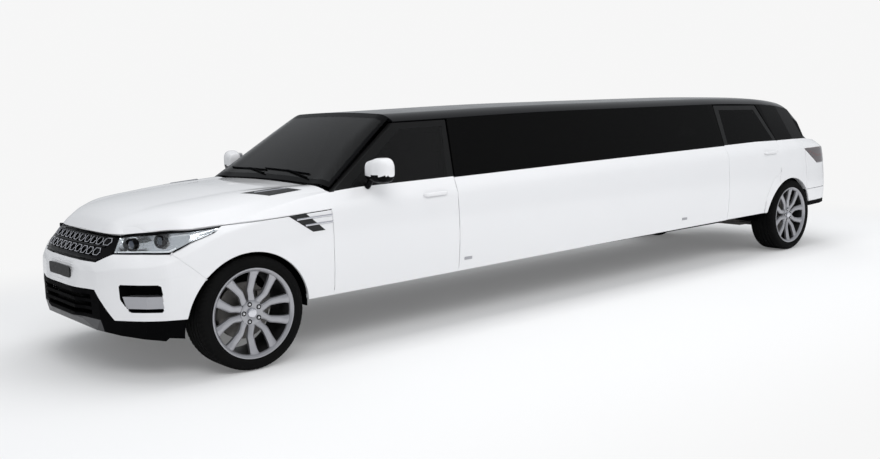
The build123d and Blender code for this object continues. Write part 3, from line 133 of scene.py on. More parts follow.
MATERIALS = {}
NODE_FINISH = (
    ("door_mirror", "gloss_black"), ("front_door_glass", "screen_glass"), ("rear_door_glass", "tinted_glass"),
    ("front_door", "door_finish"), ("rear_door", "door_finish"), ("side_windows", "tinted_glass"),
    ("quarter_windows", "tinted_glass"), ("tailgate_glass", "tinted_glass"), ("windscreen", "screen_glass"),
    ("roof_panel", "black_paint"), ("cant_rails", "black_paint"), ("pillars", "black_paint"),
    ("tailgate", "black_paint"), ("fog_lamps", "alloy"), ("cowl", "dark_trim"), ("wheel", "alloy"),
    ("tyre", "tyre_rubber"),
)
SLOT_FINISH = {"clear_glass": "screen_glass"}


# ------------------------------------------------------------------ the body surface
def monotone(xs, ys, x):
    """Monotone cubic through points: slopes are harmonic means of the two chords beside each point."""
    h = np.diff(xs)[:, None]
    chord = np.diff(ys, axis=0) / h
    slope = np.zeros_like(ys)
    slope[0], slope[-1] = chord[0], chord[-1]
    a, b = chord[:-1], chord[1:]
    same = a * b > 0
    slope[1:-1] = np.where(same, 2 * a * b / np.where(same, a + b, 1), 0)
    k = np.clip(np.searchsorted(xs, x, side="right") - 1, 0, len(xs) - 2)
    t = ((x - xs[k]) / h[k, 0])[:, None]
    return ((2 * t**3 - 3 * t**2 + 1) * ys[k] + (t**3 - 2 * t**2 + t) * h[k] * slope[k]
            + (3 * t**2 - 2 * t**3) * ys[k + 1] + (t**3 - t**2) * h[k] * slope[k + 1])


def sections(u):
    """Half-widths and heights of the eight body lines at places along the body, as two (n, 8) arrays.
    The three top lines run straight up the windscreen and the rear screen and are smooth between them."""
    u = np.clip(np.asarray(u, float).ravel(), NOSE_U, TAIL_U)
    rows, table = SECTION_ROWS[:, 0], SECTION_ROWS[:, 1:]
    lines = monotone(rows, table, u)
    cabin = [2 * i + j for i in (RAIL, EDGE, CROWN) for j in (0, 1)]
    stops = [rows[0], *CABIN_BREAKS, rows[-1]]
    for a, b in zip(stops, stops[1:]):
        here = (u >= a) & (u <= b)
        inside = (rows >= a) & (rows <= b)
        if here.any():
            part = monotone(rows[inside], table[inside], u[here])
            if (a, b) in ((CABIN_BREAKS[0], CABIN_BREAKS[1]), (CABIN_BREAKS[2], CABIN_BREAKS[3])):
                t = (u[here] - a) / (b - a)
                part[:, [2 * EDGE + 1, 2 * CROWN + 1]] += (4 * t * (1 - t) * SCREEN_BULGE * (b - a))[:, None]
            lines[np.ix_(here, cabin)] = part[:, cabin]
    return lines[:, 0::2], lines[:, 1::2]


def around(ys, zs, w):
    """Point of each section at line number w: chords between lines, bowed outwards, with a parabola on top."""
    k = np.clip(np.floor(w).astype(int), 0, 6)
    t = w - k
    i = np.arange(len(ys))
    ya, yb, za, zb = ys[i, k], ys[i, k + 1], zs[i, k], zs[i, k + 1]
    bow = np.asarray(CHORD_BULGE)[k] * 4 * t * (1 - t)
    y = ya + t * (yb - ya) + bow * (zb - za)
    z = za + t * (zb - za) - bow * (yb - ya)
    top = k == 6
    return y, np.where(top, zb - (zb - za) * (1 - t) ** 2, z)


def on_body(u, w):
    """Point (u, y, z) of the surface at place u and line number w."""
    u, w = np.broadcast_arrays(np.asarray(u, float), np.asarray(w, float))
    ys, zs = sections(u)
    y, z = around(ys, zs, w.ravel())
    return np.stack([u, y.reshape(u.shape), z.reshape(u.shape)], -1)


def line_number(u, value, by_height=True, lowest=0.0):
    """Line number w at which a section has the given height, or, above the shoulder, the given half-width."""
    u, value = np.broadcast_arrays(np.asarray(u, float), np.asarray(value, float))
    ys, zs = sections(u)
    w = np.linspace(lowest, 7, int((7 - lowest) * PER_SPAN) + 1)
    n = len(ys)
    y, z = around(np.repeat(ys, len(w), 0), np.repeat(zs, len(w), 0), np.tile(w, n))
    grid = (z if by_height else -y).reshape(n, len(w))
    v = (value if by_height else -value).reshape(n, 1)
    k = np.clip((grid <= v).sum(1) - 1, 0, len(w) - 2)
    i = np.arange(n)
    a, b = grid[i, k], grid[i, k + 1]
    t = np.clip((v[:, 0] - a) / np.where(np.abs(b - a) < 1e-9, 1, b - a), 0, 1)
    return (w[k] + t * (w[1] - w[0])).reshape(u.shape)


def on_side(uz):
    """Points of the left side over an array of (u, z)."""
    u, z = uz[..., 0], uz[..., 1]
    p = on_body(u, line_number(u, z))
    p[..., 2] = z
    return p


def on_top(uy):
    """Points of the upper surface over an array of (u, y)."""
    u, y = uy[..., 0], uy[..., 1]
    p = on_body(u, line_number(u, np.abs(y), False, BELT))
    p[..., 1] = y
    return p


def swept_round(centre_u, tip_u, theta, z):
    """Points found on rays from a centre towards an end of the body, at an angle from its centreline and a
    height. The outline at each height is followed through finely spaced sections to where the ray meets it."""
    theta, z = np.broadcast_arrays(np.asarray(theta, float), np.asarray(z, float))
    rows = SECTION_ROWS[:, 0]
    low, high = sorted((centre_u, tip_u))
    stops = np.unique(np.r_[rows[(rows >= low) & (rows <= high)], low, high])
    places = np.unique(np.concatenate([np.linspace(a, b, 9) for a, b in zip(stops, stops[1:])]))
    if tip_u > centre_u:
        places = places[::-1]
    ys, zs = sections(places)
    w = np.linspace(0, 7, 7 * PER_SPAN + 1)
    widths = [np.zeros(z.size)]
    for y_row, z_row in zip(ys, zs):
        y, height = around(np.repeat(y_row[None], len(w), 0), np.repeat(z_row[None], len(w), 0), w)
        widths.append(np.interp(z.ravel(), height, y, left=0, right=0))
    width = np.array(widths)
    ahead = np.abs(centre_u - np.r_[places[0], places])[:, None]
    angle = np.arctan2(width, ahead)
    k = np.clip((angle <= theta.ravel() + 1e-9).sum(0) - 1, 0, len(ahead) - 2)
    i = np.arange(z.size)
    slope = np.tan(theta.ravel())
    ya, yb, a, b = width[k, i], width[k + 1, i], ahead[k, 0], ahead[k + 1, 0]
    step = (yb - ya) - slope * (b - a)
    t = np.clip((slope * a - ya) / np.where(np.abs(step) < 1e-9, 1, step), 0, 1)
    reach = a + t * (b - a)
    u = centre_u + np.sign(tip_u - centre_u) * reach
    return np.stack([u.reshape(z.shape), (ya + t * (yb - ya)).reshape(z.shape), z], -1)


def on_end(end, tz):
    """Points of a rounded end of the body over an array of (angle from its centreline, z)."""
    return swept_round(*end, tz[..., 0], tz[..., 1])


def from_side(end, uz):
    """Points (u, z) of the side as (angle, z) on a rounded end: the angle is that of (ahead, half-width)."""
    centre, tip = end
    ahead = np.sign(tip - centre) * (uz[:, 0] - centre)
    return np.stack([np.arctan2(on_side(uz)[:, 1], ahead), uz[:, 1]], -1)


def from_front(end, yz):
    """Points (y, z) seen from straight ahead or behind as (angle, z), by reading each height's outline."""
    angle, z = np.linspace(0, 1.5, 160), yz[:, 1]
    width = swept_round(*end, angle[None].repeat(len(z), 0), z[:, None].repeat(len(angle), 1))[..., 1]
    return np.stack([np.array([np.interp(y, row, angle) for y, row in zip(yz[:, 0], width)]), z], -1)


def spot(view, end, point):
    """One point on a rounded end as (angle, z)."""
    return view(end, np.array([point], float))[0]


def bonnet_edge(u):
    return np.interp(u, *BONNET_EDGE)


def sill_height(u):
    return sections(u)[1][:, SILL]


def belt_height(u):
    return sections(u)[1][:, BELT]


# ------------------------------------------------------------------ grids and meshes
def through(points, counts):
    """Points along a broken line, with the given number of steps on each run."""
    points = np.asarray(points, float)
    runs = [np.linspace(a, b, n, endpoint=False) for a, b, n in zip(points, points[1:], counts)]
    return np.concatenate([*runs, points[-1:]])


def joined(*lines):
    """Lines end to end, each shared point kept once."""
    return np.concatenate([lines[0], *[line[1:] for line in lines[1:]]])


def circle(centre, radius, start, end, steps):
    """Points of an arc in degrees, about a centre in the side plane, with u falling as the angle grows."""
    a = np.radians(np.linspace(start, end, steps))
    return np.stack([centre[0] - radius * np.cos(a), centre[1] + radius * np.sin(a)], -1)


def ruled(low, high, rows):
    """Grid of straight lines from each point of one edge to its partner on the other."""
    t = np.linspace(0, 1, rows)[None, :, None]
    return low[:, None] * (1 - t) + high[:, None] * t


def mirrored(half):
    """Left half of a grid joined to its right twin at the middle, which is set to y = 0."""
    half[:, -1, 1] = 0
    return np.concatenate([half, half[:, -2::-1] * np.array([1, -1, 1])], 1)


def whole_turn(steps):
    """Angles of a whole turn, its end left out."""
    return np.linspace(0, 2 * np.pi, steps, endpoint=False)


def normals(p):
    """Unit normals of a grid from its two directions, turned away from the vehicle's middle."""
    a, b = np.gradient(p, axis=0), np.gradient(p, axis=1)
    n = np.cross(a, b)
    n /= np.maximum(np.linalg.norm(n, axis=-1, keepdims=True), 1e-12)
    heart = np.array([np.clip(p[..., 0].mean(), 300, 6900), 0, 700])
    return n * np.sign(np.sum(n * (p - heart)) or 1)


def lifted(p, distance):
    return p + normals(p) * distance


def panel(p, depth=12.0, radius=2.5):
    """Grid with its rim rounded over and turned inwards, as a pressed panel's edge is."""
    n = np.pad(normals(p), ((2, 2), (2, 2), (0, 0)), "edge")
    q = p.copy()
    for axis in (0, 1):
        for edge, inner in ((0, 1), (-1, -2)):
            e, i = np.take(p, edge, axis), np.take(p, inner, axis)
            d = i - e
            d *= np.minimum(radius / np.maximum(np.linalg.norm(d, axis=-1, keepdims=True), 1e-9), 0.4)
            index = [slice(None)] * 3
            index[axis] = edge
            q[tuple(index)] += d
    q = np.pad(q, ((2, 2), (2, 2), (0, 0)), "edge")
    outer = np.pad(p, ((2, 2), (2, 2), (0, 0)), "edge")
    i, j = np.arange(q.shape[0]), np.arange(q.shape[1])
    ring = np.minimum(np.minimum(i, i[::-1])[:, None], np.minimum(j, j[::-1])[None])
    q = np.where((ring < 2)[..., None], outer, q)
    return q - n * np.select([ring == 0, ring == 1], [depth, radius], 0)[..., None]


def grid_faces(n, m, wrap_i=False, wrap_j=False):
    """Quads of an n by m grid of points, closed round either way."""
    i, j = np.arange(n if wrap_i else n - 1), np.arange(m if wrap_j else m - 1)
    a, b = np.meshgrid(i, j, indexing="ij")
    a, b = a.ravel(), b.ravel()
    c, d = (a + 1) % n, (b + 1) % m
    return np.stack([a * m + b, c * m + b, c * m + d, a * m + d], -1)


def sheet(p, outward=None, wrap_i=False, wrap_j=False):
    """Vertices and quads of a grid in the frame's metres, wound so that faces point outwards."""
    faces = grid_faces(p.shape[0], p.shape[1], wrap_i, wrap_j)
    v = p.reshape(-1, 3)
    if outward is None:
        heart = np.array([np.clip(v[:, 0].mean(), 300, 6900), 0, 700])
        c = v[faces]
        n = np.cross(c[:, 2] - c[:, 0], c[:, 3] - c[:, 1])
        outward = np.sum(n * (c.mean(1) - heart)) > 0
    if not outward:
        faces = faces[:, ::-1]
    # u runs backwards, so turning it into x mirrors the shape and every face with it
    x = np.stack([FRONT_AXLE_X - v[:, 0], v[:, 1], v[:, 2]], -1) * MM
    return x, faces[:, ::-1]


def right_side(part):
    v, f = part
    return v * np.array([1, -1, 1]), f[:, ::-1]


def both(parts):
    return [*parts, *map(right_side, parts)]


def wound(v, f):
    """Closed piece with its quads turned outwards, from the sign of the volume that they enclose."""
    c = v[f]
    volume = np.sum(np.einsum("ij,ij->i", c[:, 0], np.cross(c[:, 1], c[:, 2]))
                    + np.einsum("ij,ij->i", c[:, 0], np.cross(c[:, 2], c[:, 3])))
    return v, (f if volume > 0 else f[:, ::-1])


def closed_sheet(ring, wrap_i=False):
    return wound(*sheet(ring, True, wrap_i=wrap_i, wrap_j=True))


def moved(part, u=0.0, y=0.0, z=0.0):
    v, f = part
    return v + np.array([-u, y, z]) * MM, f


def capped(ring):
    """Rings with a last ring at each end drawn to its middle point."""
    middle = ring.mean(1, keepdims=True).repeat(ring.shape[1], 1)
    return np.concatenate([middle[:1], ring, middle[-1:]])


def along(path):
    """Unit directions along a path of points."""
    d = np.gradient(path, axis=0)
    return d / np.linalg.norm(d, axis=1, keepdims=True)


def tube(path, radius, sides=8):
    """Round tube: a circle in the plane across each point of the path."""
    path = np.asarray(path, float)
    d = along(path)
    up = np.where(np.abs(d[:, 2:3]) > 0.9, [[0, 1, 0]], [[0, 0, 1]]).astype(float)
    a = np.cross(d, up)
    a /= np.linalg.norm(a, axis=1, keepdims=True)
    b = np.cross(d, a)
    t = whole_turn(sides)[None, :, None]
    ring = path[:, None] + radius * (np.cos(t) * a[:, None] + np.sin(t) * b[:, None])
    return sheet(capped(ring), True, wrap_j=True)


def slab(p, thickness, outset=0.0):
    """Grid given a thickness: an outer and an inner copy along the normals, joined round the rim."""
    n = normals(p)
    outer, inner = sheet(p + n * outset), sheet(p + n * (outset - thickness))
    count = p.shape[0] * p.shape[1]
    index = np.arange(count).reshape(p.shape[:2])
    rim = np.concatenate([index[0, :-1], index[:-1, -1], index[-1, :0:-1], index[:0:-1, 0]])
    wall = np.stack([rim, np.roll(rim, -1), np.roll(rim, -1) + count, rim + count], -1)
    return np.concatenate([outer[0], inner[0]]), np.concatenate([outer[1], inner[1][:, ::-1] + count, wall])


def make(name, parts, finish, slot=None, body="body", replaces=(), sharp=35, closed=False):
    """One object from a list of (vertices, quads), with doubles merged, empty faces dropped, and smooth
    shading except at edges sharper than the given angle. Closed pieces get their faces turned outwards."""
    points, faces, start = [], [], 0
    for v, f in parts:
        points.append(v)
        faces.append(np.asarray(f) + start)
        start += len(v)
    mesh = bpy.data.meshes.new(name)
    mesh.from_pydata(np.concatenate(points).tolist(), [], np.concatenate(faces).tolist())
    bm = bmesh.new()
    bm.from_mesh(mesh)
    bmesh.ops.remove_doubles(bm, verts=bm.verts, dist=2e-5)
    bmesh.ops.dissolve_degenerate(bm, edges=bm.edges, dist=1e-5)
    if closed:
        bmesh.ops.recalc_face_normals(bm, faces=bm.faces)
    bm.to_mesh(mesh)
    bm.free()
    mesh.validate()
    mesh.polygons.foreach_set("use_smooth", np.ones(len(mesh.polygons), bool))
    mesh.set_sharp_from_angle(angle=np.radians(sharp))
    obj = bpy.data.objects.new(name, mesh)
    bpy.context.scene.collection.objects.link(obj)
    mesh.materials.append(MATERIALS[finish])
    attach(obj, body)
    if replaces:
        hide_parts(*replaces)


def make_pairs(*rows):
    """Pieces of the left doors, then their twins on the right. Each row holds a name, its parts, its finish,
    the body it rides on and what else make() takes, all named without their side."""
    for side in ("left", "right"):
        for name, parts, finish, body, extra in rows:
            here = parts if side == "left" else [right_side(part) for part in parts]
            replaces = [f"{start}_{side}" for start in extra.get("replaces", ())]
            make(f"{name}_{side}", here, finish, body=f"{body}_{side}", **{**extra, "replaces": replaces})


# ------------------------------------------------------------------ materials
def rgba(colour):
    return (*colour[:3], 1.0)


def scaled(colour, k):
    return tuple(min(1.0, c * k) for c in colour[:3])


def node(tree, kind, **values):
    """New shader node with its input sockets set by name."""
    new = tree.nodes.new(f"ShaderNode{kind}")
    for key, value in values.items():
        new.inputs[key.replace("_", " ")].default_value = value
    return new


def shader(name, **sockets):
    """New material with a principled surface. Returns it with its node tree and surface node."""
    mat = bpy.data.materials.new(name)
    mat.use_nodes = True
    surface = next(n for n in mat.node_tree.nodes if n.type == "BSDF_PRINCIPLED")
    for key, value in sockets.items():
        surface.inputs[key.replace("_", " ")].default_value = value
    MATERIALS[name] = mat
    return mat.node_tree, surface


def object_place(tree):
    return tree.nodes.new("ShaderNodeTexCoord").outputs["Object"]


def noise(tree, scale, detail=3.0, stretch=(1, 1, 1)):
    """Noise on Object coordinates, stretched along the axes."""
    turn = node(tree, "Mapping", Scale=stretch)
    tex = node(tree, "TexNoise", Scale=scale, Detail=detail)
    tree.links.new(object_place(tree), turn.inputs["Vector"])
    tree.links.new(turn.outputs["Vector"], tex.inputs["Vector"])
    return tex.outputs["Fac"]


def bumps(tree, surface, height, strength, distance):
    """Fine bumps from a height socket."""
    bump = node(tree, "Bump", Strength=strength, Distance=distance)
    tree.links.new(height, bump.inputs["Height"])
    tree.links.new(bump.outputs["Normal"], surface.inputs["Normal"])


def vary(tree, surface, socket, scale, low, high):
    """A socket that wanders between two values with noise."""
    ramp = node(tree, "MapRange", From_Min=0.3, From_Max=0.7, To_Min=low, To_Max=high)
    tree.links.new(noise(tree, scale), ramp.inputs["Value"])
    tree.links.new(ramp.outputs["Result"], surface.inputs[socket])


def mixed_colour(tree, surface, factor, dark, light):
    """Base colour between two colours by a factor socket."""
    mix = tree.nodes.new("ShaderNodeMix")
    mix.data_type = "RGBA"
    mix.inputs[6].default_value, mix.inputs[7].default_value = rgba(dark), rgba(light)
    tree.links.new(factor, mix.inputs[0])
    tree.links.new(mix.outputs[2], surface.inputs["Base Color"])


def maths(tree, operation, *values):
    """Output of a maths node over numbers and sockets."""
    new = tree.nodes.new("ShaderNodeMath")
    new.operation = operation
    for socket, value in zip(new.inputs, values):
        if isinstance(value, float):
            socket.default_value = value
        else:
            tree.links.new(value, socket)
    return new.outputs[0]


def patterned(name, colour, spread, scale, rough, bump=None, **sockets):
    """Finish whose colour and roughness wander with noise, with fine bumps of (scale, strength, distance)."""
    tree, surface = shader(name, **sockets)
    mixed_colour(tree, surface, noise(tree, scale), scaled(colour, 1 - spread), scaled(colour, 1 + spread))
    vary(tree, surface, "Roughness", scale * 4, *rough)
    if bump:
        bumps(tree, surface, noise(tree, bump[0]), *bump[1:])


def glass(name, tint, transmission, ior):
    """Glass with a faintly uneven gloss."""
    tree, surface = shader(name, Transmission_Weight=transmission, IOR=ior, Base_Color=rgba(tint))
    vary(tree, surface, "Roughness", 2.0, 0.01, 0.02)


def leather():
    """Black leather with a cellular grain."""
    tree, surface = shader("black_leather", Coat_Weight=0.15)
    mixed_colour(tree, surface, noise(tree, 4.0), (0.018, 0.018, 0.019), (0.03, 0.03, 0.031))
    vary(tree, surface, "Roughness", 30.0, 0.42, 0.6)
    cells = node(tree, "TexVoronoi", Scale=420)
    cells.feature = "DISTANCE_TO_EDGE"
    tree.links.new(object_place(tree), cells.inputs["Vector"])
    bumps(tree, surface, cells.outputs["Distance"], 0.4, 0.0006)


def wood():
    """Varnished wood, its grain noise stretched along the cabinet."""
    tree, surface = shader("cabinet_wood", Coat_Weight=0.8, Coat_Roughness=0.08)
    grain = noise(tree, 6.0, 8.0, (0.6, 14, 14))
    mixed_colour(tree, surface, grain, (0.03, 0.012, 0.006), (0.12, 0.05, 0.02))
    vary(tree, surface, "Roughness", 20.0, 0.3, 0.45)


def door_finish(paint):
    """Paint on a door's outer skin and jamb below the belt's sloping line, black inside and round the glass."""
    tree, surface = shader("door_finish", IOR=1.25)
    part = tree.nodes.new("ShaderNodeSeparateXYZ")
    tree.links.new(object_place(tree), part.inputs["Vector"])
    outer = maths(tree, "GREATER_THAN", maths(tree, "ABSOLUTE", part.outputs["Y"]), 0.905)
    slope = maths(tree, "MULTIPLY", part.outputs["X"], 0.0135)
    low = maths(tree, "LESS_THAN", maths(tree, "ADD", part.outputs["Z"], slope), 1.157)
    mixed_colour(tree, surface, maths(tree, "MULTIPLY", outer, low), (0.006,) * 3, paint)
    vary(tree, surface, "Roughness", 8.0, 0.3, 0.4)


def make_finishes(settings):
    """All materials, by name."""
    alloy = settings.alloy_colour
    # name, colour, spread, pattern scale, low and high roughness, bumps (scale, strength, distance)
    for row, sockets in (
            (("white_paint", settings.paint_colour, 0.012, 1.2, (0.32, 0.36), (900, 0.02, 0.0002)),
             {"Coat_Weight": 1.0, "Coat_Roughness": 0.03}),
            (("black_paint", settings.roof_colour, 0.1, 2.0, (0.12, 0.17), (900, 0.02, 0.0002)), {"IOR": 1.16}),
            (("gloss_black", (0.002, 0.002, 0.0023), 0.1, 5.0, (0.14, 0.22)), {"IOR": 1.12}),
            (("dark_trim", (0.0025, 0.0025, 0.0028), 0.15, 8.0, (0.5, 0.62), (1400, 0.25, 0.0004)), {"IOR": 1.06}),
            (("alloy", alloy, 0.015, 6.0, (0.3, 0.34)), {"Metallic": 0.8}),
            # the barrel's near black is partly its own dark inner finish and partly painted shade behind the spokes
            (("barrel_black", (0.012, 0.012, 0.0125), 0.05, 6.0, (0.4, 0.5)), {"Metallic": 0.3}),
            (("bright_alloy", scaled(alloy, 1.7), 0.03, 20.0, (0.16, 0.24)), {"Metallic": 0.95}),
            (("chrome", (0.75, 0.75, 0.76), 0.03, 30.0, (0.05, 0.1)), {"Metallic": 1.0}),
            (("tyre_rubber", (0.005,) * 3, 0.3, 6.0, (0.62, 0.8), (700, 0.3, 0.0004)), {"IOR": 1.12}),
            (("skid_silver", (0.06, 0.06, 0.063), 0.05, 8.0, (0.35, 0.45), (1200, 0.1, 0.0002)), {"Metallic": 0.5}),
            (("chassis_steel", (0.012,) * 3, 0.3, 6.0, (0.5, 0.7), (300, 0.3, 0.0006)), {"IOR": 1.15}),
            (("cast_metal", (0.2, 0.19, 0.18), 0.25, 18.0, (0.45, 0.65), (260, 0.5, 0.0008)), {"Metallic": 0.8}),
            (("bare_steel", (0.35,) * 3, 0.1, 12.0, (0.3, 0.45), (400, 0.15, 0.0003)), {"Metallic": 1.0}),
            (("floor_coating", (0.03,) * 3, 0.4, 60.0, (0.8, 0.95), (1800, 0.8, 0.001)), {}),
            (("reflector", (0.85, 0.86, 0.88), 0.04, 30.0, (0.1, 0.2), (60, 0.5, 0.003)), {"Metallic": 0.9}),
            (("lamp_white", (0.9, 0.92, 0.95), 0.02, 10.0, (0.2, 0.3)),
             {"Emission_Color": (1, 1, 1, 1), "Emission_Strength": 0.15}),
            (("tail_lens", (0.05, 0.004, 0.004), 0.2, 30.0, (0.08, 0.14), (90, 0.3, 0.001)), {"Coat_Weight": 1.0}),
            (("blank_plate", (0.006,) * 3, 0.1, 10.0, (0.25, 0.35), (500, 0.1, 0.0003)), {"IOR": 1.15}),
            (("lamp_glass_dark", (0.03, 0.04, 0.06), 0.2, 40.0, (0.04, 0.08)), {"Coat_Weight": 1.0}),
            (("tail_glass", (0.035, 0.02, 0.022), 0.15, 30.0, (0.06, 0.12), (70, 0.1, 0.0006)),
             {"Coat_Weight": 1.0}),
            (("vent_mesh", (0.006,) * 3, 0.3, 90.0, (0.35, 0.5), (260, 1.0, 0.003)), {})):
        patterned(*row, **sockets)
    # name, tint, transmission and index of refraction
    for row in (("tinted_glass", (settings.glass_tint * 0.1,) * 3, 0.5, 1.1),
                ("screen_glass", (settings.glass_tint,) * 3, 0.9, 1.2),
                ("lamp_lens", (0.92, 0.94, 0.95), 1.0, 1.45)):
        glass(*row)
    leather()
    wood()
    door_finish(settings.paint_colour)


def dress_nodes(settings):
    """Gives each node of the frame the finish of its slot, or its own."""
    slots = {part["node"]: part["material_slot"] for part in frame["record"]["subparts"]}
    for name, obj in frame["nodes"].items():
        finish = next((look for start, look in NODE_FINISH if name.startswith(start)), None)
        finish = finish or SLOT_FINISH.get(slots[name], slots[name])
        if not obj.material_slots:
            obj.data.materials.append(MATERIALS[finish])
        for place in obj.material_slots:
            place.material = MATERIALS[finish]


# ------------------------------------------------------------------ painted skins
def skin(p, depth=12.0):
    """Painted sheet standing off the body, with a turned-in rim."""
    return sheet(panel(lifted(p, LIFT), depth))


def side_skin(u0, u1, columns):
    """Painted skin between two upright edges, from the sill's foot up to the belt."""
    u = np.linspace(u0, u1, columns)
    low = np.stack([u, sill_height(u) + 1], -1)
    high = np.stack([u, belt_height(u) - 2], -1)
    return skin(on_side(ruled(low, high, 22)))


def wing_skin():
    """Front wing: ruled from its edge along bumper, arch and door up to the lamp's and the bonnet's edge."""
    door = FRONT_DOOR_U[0] - SEAM
    low = joined(through([LAMP_OUTER, WING_NOTCH, WING_FOOT], (4, 6)),
                 circle((0, ARCH_Z), ARCH_EDGE, 44.5, 172.3, 60),
                 through([(433, 403), (door, 404)], (8,)))
    rear_rise = (440, bonnet_edge(440) - SEAM - 3)
    high = through([LAMP_OUTER, (-380, 871), (-235, 919), (-165, 960), rear_rise,
                    (door, bonnet_edge(626) - SEAM - 3)], (14, 12, 6, 37, 8))
    return skin(on_side(ruled(low, high, 26)), 20)


def rear_door_skin():
    """Rear door skin: upright front edge, rear edge curved round the arch."""
    foot = REAR_DOOR_FOOT_U - SEAM
    low = through([(REAR_DOOR_U + SEAM, 440), (foot, 443), (foot, 600), (6203 - SEAM, 770),
                   (REAR_DOOR_TOP_U - SEAM, 860)], (20, 5, 7, 7))
    low[:, 1] = np.maximum(low[:, 1], sill_height(low[:, 0]) + 1)
    high = joined(*[np.stack([np.linspace(a, b, n), belt_height(np.linspace(c, d, n)) - 2], -1) for a, b, c, d, n in (
        (REAR_DOOR_U + SEAM, REAR_DOOR_FOOT_U, REAR_DOOR_U, REAR_DOOR_FOOT_U, 21),
        (REAR_DOOR_FOOT_U, REAR_DOOR_TOP_U - SEAM, REAR_DOOR_FOOT_U, REAR_DOOR_TOP_U, 20))])
    return skin(on_side(ruled(low, high, 24)))


def quarter_skin():
    """Rear quarter: ruled from sill and arch up to the door's rear edge and the belt."""
    foot = REAR_DOOR_FOOT_U + SEAM
    low = joined(through([(foot, 443), (6153, 443)], (4,)),
                 circle((REAR_AXLE_U, ARCH_Z), ARCH_EDGE, 12.7, 139.0, 50))
    low[:, 1] = np.maximum(low[:, 1], sill_height(low[:, 0]) + 1)
    edge = through([(foot, 445), (foot, 600), (6203 + SEAM, 772), (REAR_DOOR_TOP_U + SEAM, 862)], (7, 7, 7))
    top_u = np.linspace(REAR_DOOR_TOP_U + SEAM, QUARTER_END_U, len(low) - len(edge))
    high = np.concatenate([edge, np.stack([top_u, belt_height(top_u) - 2], -1)])
    return skin(on_side(ruled(low, high, 26)), 16)


def build_skins(settings):
    """Painted skins of the wings, the doors, the long panels and the quarters."""
    make("wing_skins", both([wing_skin()]), "white_paint")
    make("stretch_skins", both([side_skin(FRONT_DOOR_U[1] + SEAM, REAR_DOOR_U - SEAM, 90)]), "white_paint")
    front = side_skin(FRONT_DOOR_U[0] + SEAM, FRONT_DOOR_U[1] - SEAM, 40)
    make_pairs(("front_door_skin", [front], "white_paint", "front_door_body", {}),
               ("rear_door_skin", [rear_door_skin()], "white_paint", "rear_door_body", {}))
    make("quarter_skins", both([quarter_skin()]), "white_paint")


def bumper_edges():
    """Lower and upper edge of the nose skin as (angle, z), from the middle round to the front arch."""
    foot = np.linspace(spot(from_front, NOSE, INTAKE_FOOT), spot(from_side, NOSE, (-434, INTAKE_FOOT[1])), 25)
    low = joined(from_front(NOSE, through([(0, INTAKE_TOP[1]), INTAKE_TOP], (16,))),
                 from_front(NOSE, through([INTAKE_TOP, INTAKE_FOOT], (14,))), foot,
                 from_side(NOSE, circle((0, ARCH_Z), ARCH_EDGE, 8.0, 44.5, 15)))
    lamp = np.linspace(spot(from_front, NOSE, LAMP_INNER), spot(from_side, NOSE, LAMP_OUTER), 25)
    high = joined(from_front(NOSE, through([(0, GRILLE_FOOT[1]), GRILLE_FOOT], (16,))),
                  from_front(NOSE, through([GRILLE_FOOT, LAMP_INNER], (14,))), lamp,
                  from_side(NOSE, through([LAMP_OUTER, WING_NOTCH, WING_FOOT], (5, 9))))
    return low, high


def duct_outline(steps):
    """Outline of the corner duct on the nose as (angle, z), clockwise from its inner top corner."""
    corners = [(656, 630), (854, 630), (866, 619), (866, 560), (860, 472), (850, 461), (716, 461), (697, 470),
               (650, 545), (646, 620), (656, 630)]
    return from_front(NOSE, through(corners, (steps, 3, steps, steps, 3, steps, 3, steps, steps, 3)))


def inside(points, loop):
    """Whether points lie inside a closed loop, by counting the edges crossed on a ray."""
    x, y = points[..., 0, None], points[..., 1, None]
    a, b = loop[:-1], loop[1:]
    crosses = (a[:, 1] > y) != (b[:, 1] > y)
    t = (y - a[:, 1]) / np.where(np.abs(b[:, 1] - a[:, 1]) < 1e-12, 1e-12, b[:, 1] - a[:, 1])
    return (crosses & (x < a[:, 0] + t * (b[:, 0] - a[:, 0]))).sum(-1) % 2 == 1


def build_bumper(settings):
    """Bumper skin from the middle to both arches, less the faces over the corner ducts, and behind each duct
    a dark pocket whose rings shrink towards its back."""
    t = np.linspace(0, 1, 260)
    low, high = (np.stack([np.interp(t, np.linspace(0, 1, len(e)), e[:, k]) for k in (0, 1)], -1)
                 for e in bumper_edges())
    tz = ruled(low, high, 90)
    p = lifted(on_end(NOSE, tz), LIFT)
    p[0, :, 1] = 0
    v, f = sheet(panel(p, 14))
    hole = np.pad(inside(tz, duct_outline(10)), 2).ravel()[f].any(1)
    make("bumper_skin", both([(v, f[~hole])]), "white_paint", replaces=("front_bumper",))
    depth = np.array([62.0, -28.0, 0.0])
    rim = on_end(NOSE, duct_outline(8)[:-1])
    spread = rim - rim.mean(0)
    back = rim.mean(0) + spread * 0.9 + depth
    rings = np.stack([rim + spread * 0.03 + depth * 0.1, back, np.broadcast_to(back.mean(0), back.shape)])
    make("duct_pockets", both([sheet(rings, wrap_j=True)]), "dark_trim")


def build_bonnet(settings):
    """Clamshell bonnet skin, one grid from edge to edge across the middle, dense towards the nose."""
    u = BONNET_U[0] + (BONNET_U[1] - BONNET_U[0]) * np.linspace(0, 1, 80)**1.6
    w_edge = line_number(u, bonnet_edge(u) + SEAM)[:, None]
    w = w_edge + (7 - w_edge) * np.linspace(0, 1, 44)[None]
    make("bonnet_skin", [skin(mirrored(on_body(np.repeat(u[:, None], 44, 1), w)), 14)], "white_paint",
         body="bonnet_lid")


